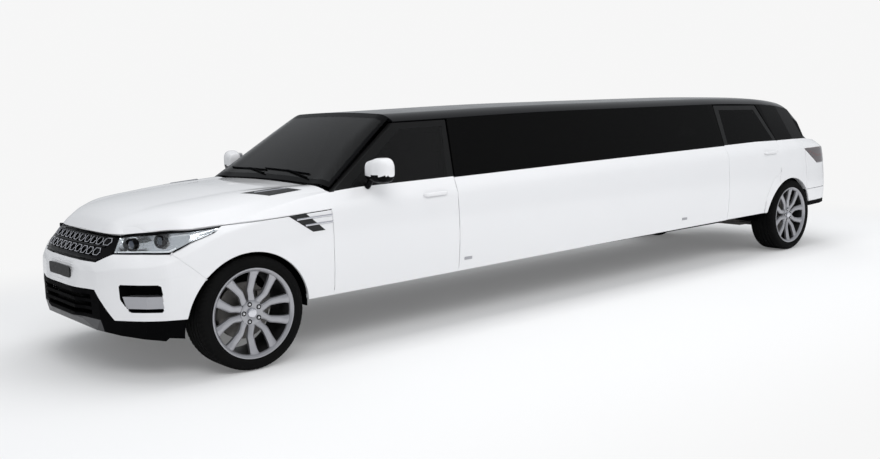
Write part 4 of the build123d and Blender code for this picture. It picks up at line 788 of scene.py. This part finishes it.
def build_roof(settings):
    """Roof skin from the screen's header to the tailgate, edge to edge."""
    u = np.r_[np.linspace(1383, 1600, 8), np.linspace(1700, 6700, 60), np.linspace(6730, 7008, 10)]
    half = on_body(u[:, None], np.linspace(RAIL, CROWN, 34)[None])
    make("roof_skin", [sheet(panel(lifted(mirrored(half), 1.0), 10))], "black_paint")


# ------------------------------------------------------------------ wheels
SPOKES = 5
SPOKE_TURN = 21
NUT_CIRCLE = 60
NUT_TURN = SPOKE_TURN + 36
TREAD_BLOCKS = 72

# One leg of a split spoke: radius, sideways offset, height of the face and width
SPOKE_PATH = np.array([
    (58, 13, 92, 48), (92, 28, 97, 45), (128, 51, 102, 42), (142, 57.5, 104, 41), (160, 60, 106, 41),
    (200, 66, 110, 43), (240, 71, 115, 48), (262, 74, 118, 57), (276, 76, 120, 72)], float)
SPOKE_SECTION = np.array([
    (-0.62, -26), (-0.56, -8), (-0.36, -1.5), (0, 0), (0.36, -1.5), (0.56, -8), (0.62, -26), (0, -30)])


def turned(profile, steps, cuts=None):
    """Profile of (y offset, radius) turned about the axle. cuts(angle, y) lowers the radius in places."""
    a = np.linspace(0, 2 * np.pi, steps, endpoint=False)[:, None]
    y, r = (np.asarray(profile, float)[:, k][None] for k in (0, 1))
    r = np.repeat(r, steps, 0)
    if cuts is not None:
        r = r - cuts(a, y)
    ring = np.stack([r * np.cos(a), np.repeat(y, steps, 0), r * np.sin(a)], -1)
    return moved(closed_sheet(ring, True), FRONT_AXLE_X)


def place_wheels(kind, parts, finish, slot="alloy", node_name=None):
    """Copies of a wheel's parts, made about the origin with the face towards +y, at the four hubs."""
    for end, u in (("front", 0.0), ("rear", REAR_AXLE_U)):
        for side, s in (("left", 1), ("right", -1)):
            hub = np.array([FRONT_AXLE_X - u, s * WHEEL_Y, WHEEL_Z]) * MM
            here = [(v * np.array([1, s, 1]) + hub, f if s == 1 else f[:, ::-1]) for v, f in parts]
            make(f"{kind}_{end}_{side}_look", here, finish, slot, f"road_wheel_{end}_{side}",
                 (f"{node_name}_{end}_{side}",) if node_name else (), 30)


def build_tyres(settings):
    """Tyres: a rounded carcass with four grooves round it, cuts between the shoulder blocks where the angle
    plus a share of y falls in the first part of each block, and a raised ring on each wall."""
    wall = [(-118, 299), (-128, 300), (-133, 306), (-137, 318), (-139, 331), (-137.5, 345), (-133, 357),
            (-125, 367), (-114, 373.5)]
    grooves = [(centre + y, r) for centre in (-66, -22, 22, 66)
               for y, r in ((-7, 377.8), (-4.5, 370), (4.5, 370), (7, 377.8))]
    profile = [*wall, (-103, 376), *grooves, (103, 376), *[(-y, r) for y, r in wall[::-1]], (118, 277), (-118, 277)]
    tread = np.array([r > 352 for y, r in profile])
    depth = settings.tread_depth / MM

    def cuts(angle, y):
        phase = (angle * TREAD_BLOCKS / 2 / np.pi + y * 0.02) % 1
        shoulder = (np.abs(y) > 74) & (np.abs(y) < 128) & tread
        return np.where(phase < 0.22, depth, 0) * shoulder

    rings = [turned([(s * 136.6, 324), (s * 139.2, 325), (s * 139.6, 327.5), (s * 137.0, 329)], 120) for s in (1, -1)]
    place_wheels("tyre", [turned(profile, 360, cuts), *rings], "tyre_rubber", "tyre_rubber", "tyre")


def spoke(side, turn):
    """One leg: a chamfered bar carried along radius, sideways offset, face depth and width."""
    t = np.linspace(0, len(SPOKE_PATH) - 1, 33)
    r, off, face, width = (np.interp(t, np.arange(len(SPOKE_PATH)), SPOKE_PATH[:, k])[:, None] for k in range(4))
    lateral = side * off + SPOKE_SECTION[:, 0] * width
    depth = face + SPOKE_SECTION[:, 1]
    a = np.radians(turn)
    ring = np.stack([r * np.sin(a) + lateral * np.cos(a), depth, r * np.cos(a) - lateral * np.sin(a)], -1)
    return moved(closed_sheet(capped(ring)), FRONT_AXLE_X)


def at_nuts(piece):
    """Copies of a small turned piece on the nuts' circle, between the spokes."""
    turns = np.radians(NUT_TURN + 360 / SPOKES * np.arange(SPOKES))
    return [moved(piece, NUT_CIRCLE * np.sin(a), 0, NUT_CIRCLE * np.cos(a)) for a in turns]


def build_rims(settings):
    """Rims: a barrel darkened partly for its own dark inner finish and partly as painted shade behind the spokes,
    a bright lip, five split spokes, a dished hub, nuts in cups and a plain cap, each a turned profile of (y offset,
    radius) or a spoke."""
    barrel = [(-132, 297), (-120, 297), (-118, 278), (-60, 268), (60, 268), (107, 274), (107, 270), (96, 268),
              (50, 260), (-60, 258), (-128, 268), (-132, 280)]
    lip = [(110, 277), (118, 284), (121, 296), (131, 298), (132.5, 296), (132, 290), (124, 279), (117, 273),
           (108, 271)]
    hub = [(55, 84), (89, 84), (97, 80), (100, 72), (99, 50), (95, 36), (95, 0.5), (55, 0.5)]
    nut = [(85, 0.4), (85, 9.5), (102, 9.5), (106, 6), (107, 0.4)]
    cup = [(95, 10.5), (101.4, 11), (101.4, 16.5), (95, 17.5)]
    cap = [(91, 0.4), (91, 31), (105, 31), (108, 28), (109.5, 20), (110, 0.4)]
    spokes = [spoke(side, SPOKE_TURN + 360 / SPOKES * i) for i in range(SPOKES) for side in (1, -1)]
    place_wheels("rim", [turned(lip, 160), turned(hub, 80), *spokes], "alloy", node_name="wheel")
    # the barrel is dark partly for its own inner finish and partly as painted shade behind the spokes
    place_wheels("barrel", [turned(barrel, 160)], "barrel_black", "dark_trim")
    place_wheels("nuts", at_nuts(turned(nut, 6)), "chrome")
    place_wheels("cups", at_nuts(turned(cup, 20)), "gloss_black")
    place_wheels("cap", [turned(cap, 48)], "bright_alloy")


# ------------------------------------------------------------------ glass and lamps
def screen(u, across):
    """Grid on the windscreen over places along it and shares of its half-width."""
    half = np.interp(u, (706, 1380), (833, 660))
    return on_top(np.stack(np.broadcast_arrays(u[:, None], half[:, None] * across[None]), -1))


def build_windscreen(settings):
    """Windscreen: a bowed sheet between the cowl, the pillars and the roof, with a black band round it."""
    u, across = np.linspace(708, 1379, 40), np.linspace(-1, 1, 41)
    make("windscreen_look", [slab(screen(u, across), 5)], "screen_glass", "clear_glass",
         replaces=("windscreen",), closed=True)
    strips = [(u, side * np.array([1, 0.955])) for side in (-1, 1)]
    strips += [(np.linspace(a, b, 5), across) for a, b in ((708, 745), (1330, 1379))]
    make("windscreen_band", [slab(screen(*strip), 1.5, 0.8) for strip in strips], "gloss_black", closed=True)


def lamp_edges():
    """Lower and upper edge of the head lamp as (angle, z), from its inner end to its tip. The upper edge
    follows the bonnet's edge, found by four rounds of reading its height at the place reached."""
    outer = (-490, LAMP_FOOT_Z)
    low = joined(from_front(NOSE, through([(556, LAMP_FOOT_Z), (650, LAMP_FOOT_Z)], (10,))),
                 np.linspace(spot(from_front, NOSE, (650, LAMP_FOOT_Z)), spot(from_side, NOSE, outer), 15),
                 from_side(NOSE, through([outer, (-380, 876), (-190, 940)], (14, 20))))
    first, last = spot(from_front, NOSE, (505, 911)), spot(from_side, NOSE, (-190, 946))
    angle = first[0] + (last[0] - first[0]) * np.linspace(0, 1, len(low))
    height = np.full(len(low), 915.0)
    for _ in range(4):
        u = on_end(NOSE, np.stack([angle, height], -1))[:, 0]
        height = bonnet_edge(u) - 10
    return low, np.stack([angle, height], -1)


# Centres of the two projectors as (u, y, z), and the way they look
PROJECTORS = ((-640.0, 612.0, 866.0), (-500.0, 720.0, 882.0))
LAMP_AIM = np.array([-0.95, 0.31, 0.0])


def aimed(centre, profile, steps=40):
    """Profile of (radius, reach) turned about a line through a centre along the lamps' aim."""
    d = LAMP_AIM / np.linalg.norm(LAMP_AIM)
    a = np.cross(d, [0, 0, 1.0])
    a /= np.linalg.norm(a)
    b = np.cross(a, d)
    t = whole_turn(steps)[:, None, None]
    r, reach = (np.asarray(profile, float)[:, k][None, :, None] for k in (0, 1))
    ring = np.asarray(centre) + r * (np.cos(t) * a + np.sin(t) * b) + reach * d
    return sheet(ring, True, wrap_i=True, wrap_j=True)


def build_head_lamps(settings):
    """Head lamps: a clear cover over a bright bowl, two projectors with dark rings and a light strip. The
    bowl's depth is a power of the height times a flat-topped bump along the lamp."""
    low, high = lamp_edges()

    def between(a, b, rows):
        return on_end(NOSE, ruled(low + (high - low) * a, low + (high - low) * b, rows))

    face = between(0.012, 0.988, 16)
    make("lamp_covers", both([slab(face, 2.5, 0.5)]), "lamp_lens", replaces=("head_lamps",), closed=True)
    rows, columns = face.shape[:2]
    across = np.linspace(0, 1, rows)[:, None]
    up = np.linspace(0, 1, columns)[None]
    bowl = 58 * (1 - across) ** 0.7 * (1 - (2 * up - 1) ** 6) * np.minimum(1, across * 14)
    back = face - normals(face) * (4 + bowl)[..., None]
    make("lamp_bowls", both([slab(back, 2)]), "reflector", "lamp_lens", closed=True)
    bezels = [slab(between(a, b, 3), 8, 0.8) for a, b in ((0.0, 0.05), (0.93, 1.0))]
    make("lamp_bezels", both(bezels), "gloss_black", closed=True)
    collar = [(30, 0), (34, 6), (40, 8), (43, 2), (39, -34), (30, -34)]
    make("lamp_projector_rings", both([aimed(centre, collar) for centre in PROJECTORS]), "gloss_black", closed=True)
    bulge = np.radians(np.linspace(0, 88, 8))
    lens = [*zip(29 * np.cos(bulge), 12 * np.sin(bulge) - 4), (0.3, -12), (26.1, -12)]
    make("lamp_projector_lenses", both([aimed(centre, lens) for centre in PROJECTORS]), "lamp_glass_dark",
         "lamp_lens", closed=True)
    make("lamp_light_strips", both([slab(between(0.08, 0.15, 3)[2:30], 3, -6)]), "lamp_white", "lamp_lens",
         closed=True)


TAIL_LAMP_FRONT_U, TAIL_LAMP_CORNER_U = 6912, 7180
TAIL_LAMP_HALF = 705


def build_tail_lamps(settings):
    """Tail lamps: a dark glossy wedge ruled round the corner, with a red band behind its middle."""
    corner = (TAIL_LAMP_CORNER_U, 908)
    low = joined(from_side(TAIL, through([(TAIL_LAMP_FRONT_U, 1070), corner], (24,))),
                 np.linspace(spot(from_side, TAIL, corner), spot(from_front, TAIL, (TAIL_LAMP_HALF, 908)), 30))
    high = np.linspace(spot(from_side, TAIL, (TAIL_LAMP_FRONT_U, 1076)),
                       spot(from_front, TAIL, (TAIL_LAMP_HALF, 1062)), len(low))
    lens = on_end(TAIL, ruled(low, high, 14))
    make("tail_lamp_lenses", both([sheet(panel(lifted(lens, 2.5), 10))]), "tail_glass", "tail_lens")
    band = on_end(TAIL, ruled(low + (high - low) * 0.42, low + (high - low) * 0.56, 3))[6:-1]
    make("tail_lamp_bands", both([slab(band, 2, 3.4)]), "tail_lens", closed=True)


# ------------------------------------------------------------------ tail skins
CORNER_FRONT_U = 6914
CORNER_HALF = 702.5


def corner_skins():
    """Rear corner in two sheets: over the lamp up to the belt, and from the bumper up to the lamp."""
    u = np.linspace(6907, 7470, 40)[:, None]
    w0 = line_number(u[:, 0], 1080.0)[:, None]
    above = skin(on_body(np.repeat(u, 10, 1), w0 + (3.96 - w0) * np.linspace(0, 1, 10)[None]), 10)

    def across(z, side):
        """A line on the side carried on level round the corner, from the lamp's lower corner to the tailgate."""
        middle = spot(from_side, TAIL, (TAIL_LAMP_CORNER_U, z))
        return joined(side, np.linspace(middle, spot(from_front, TAIL, (CORNER_HALF, z)), 31))

    foot, top = 633, 904
    along_foot = [spot(from_side, TAIL, (u, foot)) for u in (CORNER_FRONT_U, TAIL_LAMP_CORNER_U)]
    low = across(foot, np.linspace(*along_foot, 25))
    high = across(top, from_side(TAIL, through([(CORNER_FRONT_U, 1066), (TAIL_LAMP_CORNER_U, top)], (24,))))
    return [above, skin(on_end(TAIL, ruled(low, high, 22)))]


def rear_bumper_skin():
    """Rear bumper: from its foot, which leaves the arch and runs level to the middle, up to its top line."""
    arch = from_side(TAIL, circle((REAR_AXLE_U, ARCH_Z), ARCH_EDGE, 139.5, 160.0, 10))
    low = joined(arch, np.linspace(arch[-1], [0, arch[-1, 1]], 90))
    top = 628
    side = spot(from_side, TAIL, (6990, top))
    high = joined(np.linspace(spot(from_side, TAIL, (CORNER_FRONT_U, top)), side, 10),
                  np.linspace(side, [0, top], 90))
    p = lifted(on_end(TAIL, ruled(low, high, 18)), LIFT)
    p[-1, :, 1] = 0
    return sheet(panel(p, 14))


def tailgate_skins():
    """Tailgate in a half sheet below its break, from the middle to its edge, and a shelf above it."""
    z = np.linspace(643.0, 1070, 40)
    edge = from_front(TAIL, np.stack([np.full(len(z), TAILGATE_HALF), z], -1))[:, 0]
    theta = edge[None] * (1 - np.linspace(0, 1, 46)[:, None])
    p = lifted(on_end(TAIL, np.stack(np.broadcast_arrays(theta, z[None]), -1)), LIFT)
    p[-1, :, 1] = 0
    u = np.linspace(7296, 7520, 24)
    half = np.interp(u, (7300, 7430, 7530), (TAILGATE_HALF, TAILGATE_HALF, 690))
    uy = np.stack(np.broadcast_arrays(u[:, None], half[:, None] * np.linspace(-1, 1, 60)[None]), -1)
    return sheet(panel(p)), skin(on_top(uy), 8)


def build_tail(settings):
    """Painted corner, bumper and tailgate skins at the rear."""
    make("corner_skins", both(corner_skins()), "white_paint")
    make("rear_bumper_skin", both([rear_bumper_skin()]), "white_paint")
    lower, shelf = tailgate_skins()
    make("tailgate_skin", both([lower]), "white_paint", body="tailgate_lid")
    make("tailgate_shelf", [shelf], "white_paint", body="tailgate_lid")


# ------------------------------------------------------------------ trim
def nose_spot(y, z, ahead=0.0):
    """Points on the nose at given half-widths, of either side, and heights."""
    p = on_end(NOSE, from_front(NOSE, np.stack([np.abs(y), z], -1)))
    p[:, 1] *= np.where(y < 0, -1, 1)
    return p + np.array([-ahead, 0, 0])


def build_grille(settings):
    """Grille: two rows of six-sided cells with bright rims and three bars, all tubes lying on the nose."""
    cell = through([(-36, 0), (-21, 20), (21, 20), (36, 0), (21, -20), (-21, -20), (-36, 0)], (3,) * 6)
    pitch = 88
    places = [(row_z, first + pitch * i) for row_z, first in ((820, 44), (880, 88)) for i in range(5)]
    rims = [tube(nose_spot(y0 + cell[:, 0], z0 + cell[:, 1], 2.0), 3.4, 6) for z0, y0 in [*places, (880, 0)]]
    make("grille_cells", both(rims), "bright_alloy", "skid_silver")
    bars = [tube(nose_spot(np.linspace(-half, half, 60), np.full(60, z), 3.0), radius)
            for z, radius, half in ((776, 5.0, 450), (850, 5.5, 450), (902, 4.0, 425))]
    make("grille_bars", bars, "gloss_black")


def build_intake(settings):
    """Dark panel behind the lower intake's slots, following the nose 70 mm further in."""
    y, z = np.linspace(-430, 430, 24), np.linspace(412, 580, 6)
    grid = np.stack([nose_spot(y, np.full(len(y), height), -70.0) for height in z], 1)
    make("intake_backing", [slab(grid, 4)], "dark_trim", closed=True)


def plate(u, z0, z1, half):
    """Blank number plate: an upright grid across the body with its corner points drawn in."""
    y, z = np.linspace(-half, half, 12), np.linspace(z0, z1, 6)
    grid = np.stack(np.broadcast_arrays(u, y[:, None], z[None]), -1).astype(float)
    for i, beside_i in ((0, 1), (-1, -2)):
        for j, beside_j in ((0, 1), (-1, -2)):
            grid[i, j] += (grid[beside_i, beside_j] - grid[i, j]) * 0.18
    return slab(grid, 7)


def build_plates(settings):
    """Blank plates, front and rear."""
    make("front_plate", [plate(-884.0, *PLATE_Z, PLATE_HALF)], "blank_plate", "dark_trim", closed=True)
    make("rear_plate", [plate(7632.0, *REAR_PLATE_Z, REAR_PLATE_HALF)], "blank_plate", "dark_trim", "tailgate_lid",
         closed=True)


def side_strip(points, steps):
    """Flattened bar along the body side through (u, z) points: an ellipse across each point of its path."""
    half_tall, half_deep, out = 7, 5, np.array([0, 1.0, 0])
    path = on_side(through(points, (steps,))) + half_deep * out
    across = np.cross(along(path), out)
    across /= np.linalg.norm(across, axis=1, keepdims=True)
    a = whole_turn(12)[None, :, None]
    ring = path[:, None] + half_tall * np.cos(a) * across[:, None] + half_deep * np.sin(a) * out
    return closed_sheet(capped(ring))


def handle(front, rear):
    """Pull handle between two points (u, z): a flattened bar that stands off the door and comes in to it at
    both ends, by a sine of its length cut off at one."""
    t = np.linspace(0, 1, 24)
    p = on_side(np.linspace(front, rear, len(t)))
    p[:, 1] += 24 * np.minimum(1, np.sin(np.pi * t) * 3.2) - 4
    a = whole_turn(14)[None]
    half_tall = (6 + 9 * np.minimum(1, np.sin(np.pi * t) * 4))[:, None]
    offset = np.stack(np.broadcast_arrays(0.0, 7 * np.sin(a), half_tall * np.cos(a)), -1)
    return closed_sheet(capped(p[:, None] + offset))


def build_handles(settings):
    """Door handles."""
    make_pairs(("front_handle", [handle((1448, 1022), (1688, 1027))], "white_paint", "front_door_body", {}),
               ("rear_handle", [handle((6046, 1072), (6308, 1077))], "white_paint", "rear_door_body", {}))


def build_wing_vents(settings):
    """Mesh vent behind the front arch with two bright bars that run back to the door."""
    low, high = through([(474, 860), (573, 862)], (14,)), through([(298, 978), (432, 984)], (14,))
    mesh = slab(on_side(ruled(low, high, 12)), 3, LIFT + 1.2)
    make("wing_vent_mesh", both([mesh]), "vent_mesh", "dark_trim", closed=True)
    bars = [side_strip(points, 24) for points in ([(352, 952), (636, 960)], [(415, 908), (636, 914)])]
    make("wing_vent_bars", both(bars), "bright_alloy", "skid_silver")


def build_bonnet_vents(settings):
    """Dark slanted vents in the bonnet with a bright bar in each."""
    low, high = through([(152, 597), (447, 603)], (16,)), through([(280, 755), (528, 768)], (16,))
    make("bonnet_vents", both([slab(on_top(ruled(low, high, 8)), 2, LIFT + 0.6)]), "vent_mesh", "dark_trim",
         "bonnet_lid", closed=True)
    line = on_top(np.linspace((230, 640), (470, 668), 20)) + np.array([0, 0, 1.0])
    make("bonnet_vent_bars", both([tube(line, 6)]), "bright_alloy", "skid_silver", "bonnet_lid")


def build_side_markers(settings):
    """Small grey marker lamps low on the long panels."""
    half_long, half_tall = 38, 11
    grids = [on_side(ruled(*(through([(u - half_long, height), (u + half_long, height)], (6,))
                             for height in (z - half_tall, z + half_tall)), 4))
             for u, z in ((1880.0, 503.0), (4670.0, 526.0))]
    make("side_markers", both([slab(grid, 4, LIFT + 3.0) for grid in grids]), "alloy", "lamp_lens", closed=True)


# Door mirror: inner and outer end, middle height, and where its black base begins
MIRROR_Y = (947, 1149)
MIRROR_Z = 1238
MIRROR_SPLIT = 1205


def mirror_shell():
    """Mirror housing: squared rounds across (u, z), flatter behind, carried outwards along y. Their size
    grows from the door, then falls away to the outer end."""
    t = np.linspace(0, 1, 26)[:, None]
    fall = np.sqrt(np.clip(1 - np.clip((t - 0.62) / 0.38, 0, 1) ** 2.6, 0, 1))
    size = fall * np.clip(0.72 + t * 0.6, 0, 1) * np.minimum(1, (t / 0.05) ** 0.5)
    c, s = np.cos(whole_turn(40)), np.sin(whole_turn(40))
    round_u = np.sign(c) * np.abs(c) ** 0.62
    round_z = np.sign(s) * np.abs(s) ** 0.62
    u = 988 + 42 * t + (84 - 8 * t) * size * (round_u * np.where(round_u > 0, 0.62, 1.0))
    z = MIRROR_Z + 2 * t + 88 * size * round_z
    y = MIRROR_Y[0] + (MIRROR_Y[1] - MIRROR_Y[0]) * t
    return closed_sheet(np.stack(np.broadcast_arrays(u, y, z), -1))


def build_mirrors(settings):
    """Door mirrors: painted upper shell, black lower shell and foot, bright glass."""
    v, f = mirror_shell()
    upper = v[f].mean(1)[:, 2] > MIRROR_SPLIT * MM
    t = np.linspace(0, 1, 12)
    foot = tube(np.stack([985 - 10 * t, 900 + 78 * t, 1118 + 72 * t**1.4], -1), 22, 12)
    t = np.linspace(0.14, 0.8, 14)[:, None]
    tall = 66 * np.sqrt(1 - ((t - 0.47) / 0.5) ** 4)
    glass_grid = np.stack(np.broadcast_arrays(1053 + 14 * t, MIRROR_Y[0] + (MIRROR_Y[1] - MIRROR_Y[0]) * t,
                                              MIRROR_Z + 2 + tall * np.linspace(-1, 1, 10)[None]), -1)
    door = "front_door_body"
    make_pairs(("mirror_shell", [(v, f[upper])], "white_paint", door, {"replaces": ("door_mirror",), "sharp": 60}),
               ("mirror_base", [(v, f[~upper]), foot], "gloss_black", door, {"sharp": 60}),
               ("mirror_glass", [slab(glass_grid, 2.0)], "chrome", door, {"slot": "skid_silver", "closed": True}))


def build_wipers(settings):
    """Wiper arms and blades lying on the windscreen's foot."""
    parts = []
    t = np.linspace(0, 1, 20)
    for pivot_y, tip_y in ((520.0, -120.0), (-80.0, -640.0)):
        sweep = (tip_y - pivot_y) * t
        arm = on_top(np.stack([735 + 40 * t, pivot_y + sweep * 0.5], -1)) + np.array([0, 0, 14])
        blade = on_top(np.stack([770 + 14 * t, pivot_y - 20 + sweep], -1)) + np.array([0, 0, 8])
        parts += [tube(arm, 6), tube(blade, 5)]
    make("wipers", parts, "dark_trim")


# ------------------------------------------------------------------ stage
FLOOR_HALF = 60.0
FLOOR_NEAR = {"X": 4.2, "Y": 1.0}


def build_floor(settings):
    """Pale floor that keeps the shadow and, for the camera alone, turns to the backdrop's colour further off.
    The share grows smoothly with the distance to a rectangle about the vehicle."""
    h = FLOOR_HALF
    mesh = bpy.data.meshes.new("floor")
    mesh.from_pydata([(-h, -h, 0), (h, -h, 0), (h, h, 0), (-h, h, 0)], [], [(0, 1, 2, 3)])
    floor = bpy.data.objects.new("floor", mesh)
    bpy.context.scene.collection.objects.link(floor)
    tree, surface = shader("floor_finish", Roughness=0.9, Emission_Color=(1, 1, 1, 1))
    mixed_colour(tree, surface, noise(tree, 0.4), scaled(settings.floor_colour, 0.985),
                 scaled(settings.floor_colour, 1.01))
    part = tree.nodes.new("ShaderNodeSeparateXYZ")
    tree.links.new(object_place(tree), part.inputs["Vector"])
    squares = []
    for axis, half in FLOOR_NEAR.items():
        over = maths(tree, "SUBTRACT", maths(tree, "ABSOLUTE", part.outputs[axis]), half)
        squares.append(maths(tree, "POWER", maths(tree, "MAXIMUM", over, 0.0), 2.0))
    away = maths(tree, "SQRT", maths(tree, "ADD", *squares))
    ramp = node(tree, "MapRange", From_Min=1.0, From_Max=3.6, To_Min=0.15)
    ramp.interpolation_type = "SMOOTHSTEP"
    tree.links.new(away, ramp.inputs["Value"])
    ray = tree.nodes.new("ShaderNodeLightPath")
    far = maths(tree, "MULTIPLY", ramp.outputs["Result"], ray.outputs["Is Camera Ray"])
    pale = node(tree, "Emission", Color=BACKGROUND)
    out = next(n for n in tree.nodes if n.type == "OUTPUT_MATERIAL")
    mix_surfaces(tree, far, surface, pale, out)
    mesh.materials.append(MATERIALS["floor_finish"])


def mix_surfaces(tree, factor, first, second, out):
    """Links a mix of two shaders to an output node."""
    mixed = tree.nodes.new("ShaderNodeMixShader")
    tree.links.new(factor, mixed.inputs[0])
    tree.links.new(first.outputs[0], mixed.inputs[1])
    tree.links.new(second.outputs[0], mixed.inputs[2])
    tree.links.new(mixed.outputs[0], out.inputs["Surface"])


def build_world(settings):
    """Soft light from all round, and a pale backdrop for the camera."""
    world = bpy.data.worlds.new("surround")
    bpy.context.scene.world = world
    world.use_nodes = True
    tree = world.node_tree
    tree.nodes.clear()
    light = node(tree, "Background", Strength=settings.sky_strength, Color=(0.93, 0.96, 1.0, 1))
    seen = node(tree, "Background", Strength=1.0, Color=BACKGROUND)
    ray = tree.nodes.new("ShaderNodeLightPath")
    mix_surfaces(tree, ray.outputs["Is Camera Ray"], light, seen, tree.nodes.new("ShaderNodeOutputWorld"))


def build_lights(settings):
    """Four area lights, left out of reflections."""
    for name, place, target, length, width, power in LIGHTS:
        lamp = bpy.data.lights.new(name, "AREA")
        lamp.shape, lamp.size, lamp.size_y, lamp.energy = "RECTANGLE", length, width, power
        obj = bpy.data.objects.new(name, lamp)
        aim = Vector(target) - Vector(place)
        obj.matrix_world = Matrix.Translation(place) @ aim.to_track_quat("-Z", "Y").to_matrix().to_4x4()
        obj.visible_glossy = False
        bpy.context.scene.collection.objects.link(obj)


def build_camera(settings):
    """Camera by its place, and its turn as yaw, pitch and roll."""
    cam = bpy.data.cameras.new("camera")
    cam.sensor_width, cam.lens, cam.clip_end = 36.0, CAMERA_LENS, 200.0
    obj = bpy.data.objects.new("camera", cam)
    yaw, pitch, roll = CAMERA_TURN
    ahead = np.array([np.cos(pitch) * np.cos(yaw), np.cos(pitch) * np.sin(yaw), -np.sin(pitch)])
    right = np.cross(ahead, [0, 0, 1.0])
    right /= np.linalg.norm(right)
    up = np.cross(right, ahead)
    rolled_right = right * np.cos(roll) + up * np.sin(roll)
    rolled_up = up * np.cos(roll) - right * np.sin(roll)
    axes = np.array([rolled_right, rolled_up, -ahead]).T * np.array([[-1], [-1], [1]])
    obj.matrix_world = Matrix.Translation(CAMERA_PLACE) @ Matrix(axes.tolist()).to_4x4()
    bpy.context.scene.collection.objects.link(obj)
    bpy.context.scene.camera = obj


# ------------------------------------------------------------------ settings, operators and panel
def colour_setting(name, description, default):
    return bpy.props.FloatVectorProperty(
        name=name, description=description, subtype="COLOR", size=3, default=default, min=0, max=1)


class LimousineSettings(bpy.types.PropertyGroup):
    """Colours and sizes that a user would change."""

    paint_colour: colour_setting("Body colour", "Colour of the painted panels", (0.72, 0.72, 0.73))
    roof_colour: colour_setting("Roof colour", "Colour of the roof and its rails", (0.003, 0.003, 0.0035))
    alloy_colour: colour_setting("Wheel colour", "Colour of the alloy wheels", (0.38, 0.38, 0.4))
    floor_colour: colour_setting("Floor colour", "Colour of the floor under the vehicle", (0.8, 0.8, 0.8))
    glass_tint: bpy.props.FloatProperty(
        name="Glass tint", description="How much light the front glass lets through", subtype="FACTOR",
        default=0.06, min=0, max=1)
    tread_depth: bpy.props.FloatProperty(
        name="Tread depth", description="Depth of the cuts in the tyre shoulders", unit="LENGTH",
        default=0.006, min=0.001, max=0.012)
    sky_strength: bpy.props.FloatProperty(
        name="Sky strength", description="Strength of the soft light from all round", default=0.55, min=0, max=3)


class BuildSteps:
    """Runs an operator's building steps in order. Each takes the settings."""

    steps = ()

    def execute(self, context):
        for step in self.steps:
            step(context.scene.limousine)
        return {"FINISHED"}


class LIMO_OT_finishes(BuildSteps, bpy.types.Operator):
    """Make the finishes and put them on the frame's nodes"""

    bl_idname = "limo.finishes"
    bl_label = "Finishes"
    steps = (make_finishes, dress_nodes)


class LIMO_OT_skins(BuildSteps, bpy.types.Operator):
    """Make the painted side skins"""

    bl_idname = "limo.skins"
    bl_label = "Side skins"
    steps = (build_skins,)


class LIMO_OT_nose(BuildSteps, bpy.types.Operator):
    """Make the bumper and bonnet skins"""

    bl_idname = "limo.nose"
    bl_label = "Nose"
    steps = (build_bumper, build_bonnet, build_bonnet_vents)


class LIMO_OT_roof(BuildSteps, bpy.types.Operator):
    """Make the roof skin"""

    bl_idname = "limo.roof"
    bl_label = "Roof"
    steps = (build_roof,)


class LIMO_OT_tail(BuildSteps, bpy.types.Operator):
    """Make the rear skins"""

    bl_idname = "limo.tail"
    bl_label = "Tail"
    steps = (build_tail,)


class LIMO_OT_glass(BuildSteps, bpy.types.Operator):
    """Make the windscreen and the wipers"""

    bl_idname = "limo.glass"
    bl_label = "Windscreen"
    steps = (build_windscreen, build_wipers)


class LIMO_OT_lamps(BuildSteps, bpy.types.Operator):
    """Make the head and tail lamps"""

    bl_idname = "limo.lamps"
    bl_label = "Lamps"
    steps = (build_head_lamps, build_tail_lamps)


class LIMO_OT_grille(BuildSteps, bpy.types.Operator):
    """Make the grille's cells and the intake"""

    bl_idname = "limo.grille"
    bl_label = "Grille"
    steps = (build_grille, build_intake)


class LIMO_OT_wheels(BuildSteps, bpy.types.Operator):
    """Make the tyres and the alloys"""

    bl_idname = "limo.wheels"
    bl_label = "Wheels"
    steps = (build_tyres, build_rims)


class LIMO_OT_trim(BuildSteps, bpy.types.Operator):
    """Make plates, handles, vents, markers and mirrors"""

    bl_idname = "limo.trim"
    bl_label = "Trim"
    steps = (build_plates, build_handles, build_wing_vents, build_side_markers, build_mirrors)


class LIMO_OT_stage(BuildSteps, bpy.types.Operator):
    """Make the floor, the lights and the camera"""

    bl_idname = "limo.stage"
    bl_label = "Stage"
    steps = (build_floor, build_world, build_lights, build_camera)


OPERATORS = (
    LIMO_OT_finishes, LIMO_OT_skins, LIMO_OT_nose, LIMO_OT_roof, LIMO_OT_tail, LIMO_OT_glass, LIMO_OT_lamps,
    LIMO_OT_grille, LIMO_OT_wheels, LIMO_OT_trim, LIMO_OT_stage)


class LIMO_PT_panel(bpy.types.Panel):
    """Lists the settings and the building steps"""

    bl_idname = "LIMO_PT_panel"
    bl_label = "Limousine"
    bl_space_type = "VIEW_3D"
    bl_region_type = "UI"
    bl_category = "Limousine"

    def draw(self, context):
        for name in LimousineSettings.__annotations__:
            self.layout.prop(context.scene.limousine, name)
        for cls in OPERATORS:
            self.layout.operator(cls.bl_idname)


CLASSES = (LimousineSettings, *OPERATORS, LIMO_PT_panel)


def register():
    for cls in CLASSES:
        bpy.utils.register_class(cls)
    bpy.types.Scene.limousine = bpy.props.PointerProperty(type=LimousineSettings)


def unregister():
    del bpy.types.Scene.limousine
    for cls in reversed(CLASSES):
        bpy.utils.unregister_class(cls)


def main():
    """Builds everything in order."""
    bpy.context.scene.view_settings.view_transform = "Standard"
    register()
    for cls in OPERATORS:
        group, name = cls.bl_idname.split(".")
        getattr(getattr(bpy.ops, group), name)()


if __name__ == "__main__":
    main()
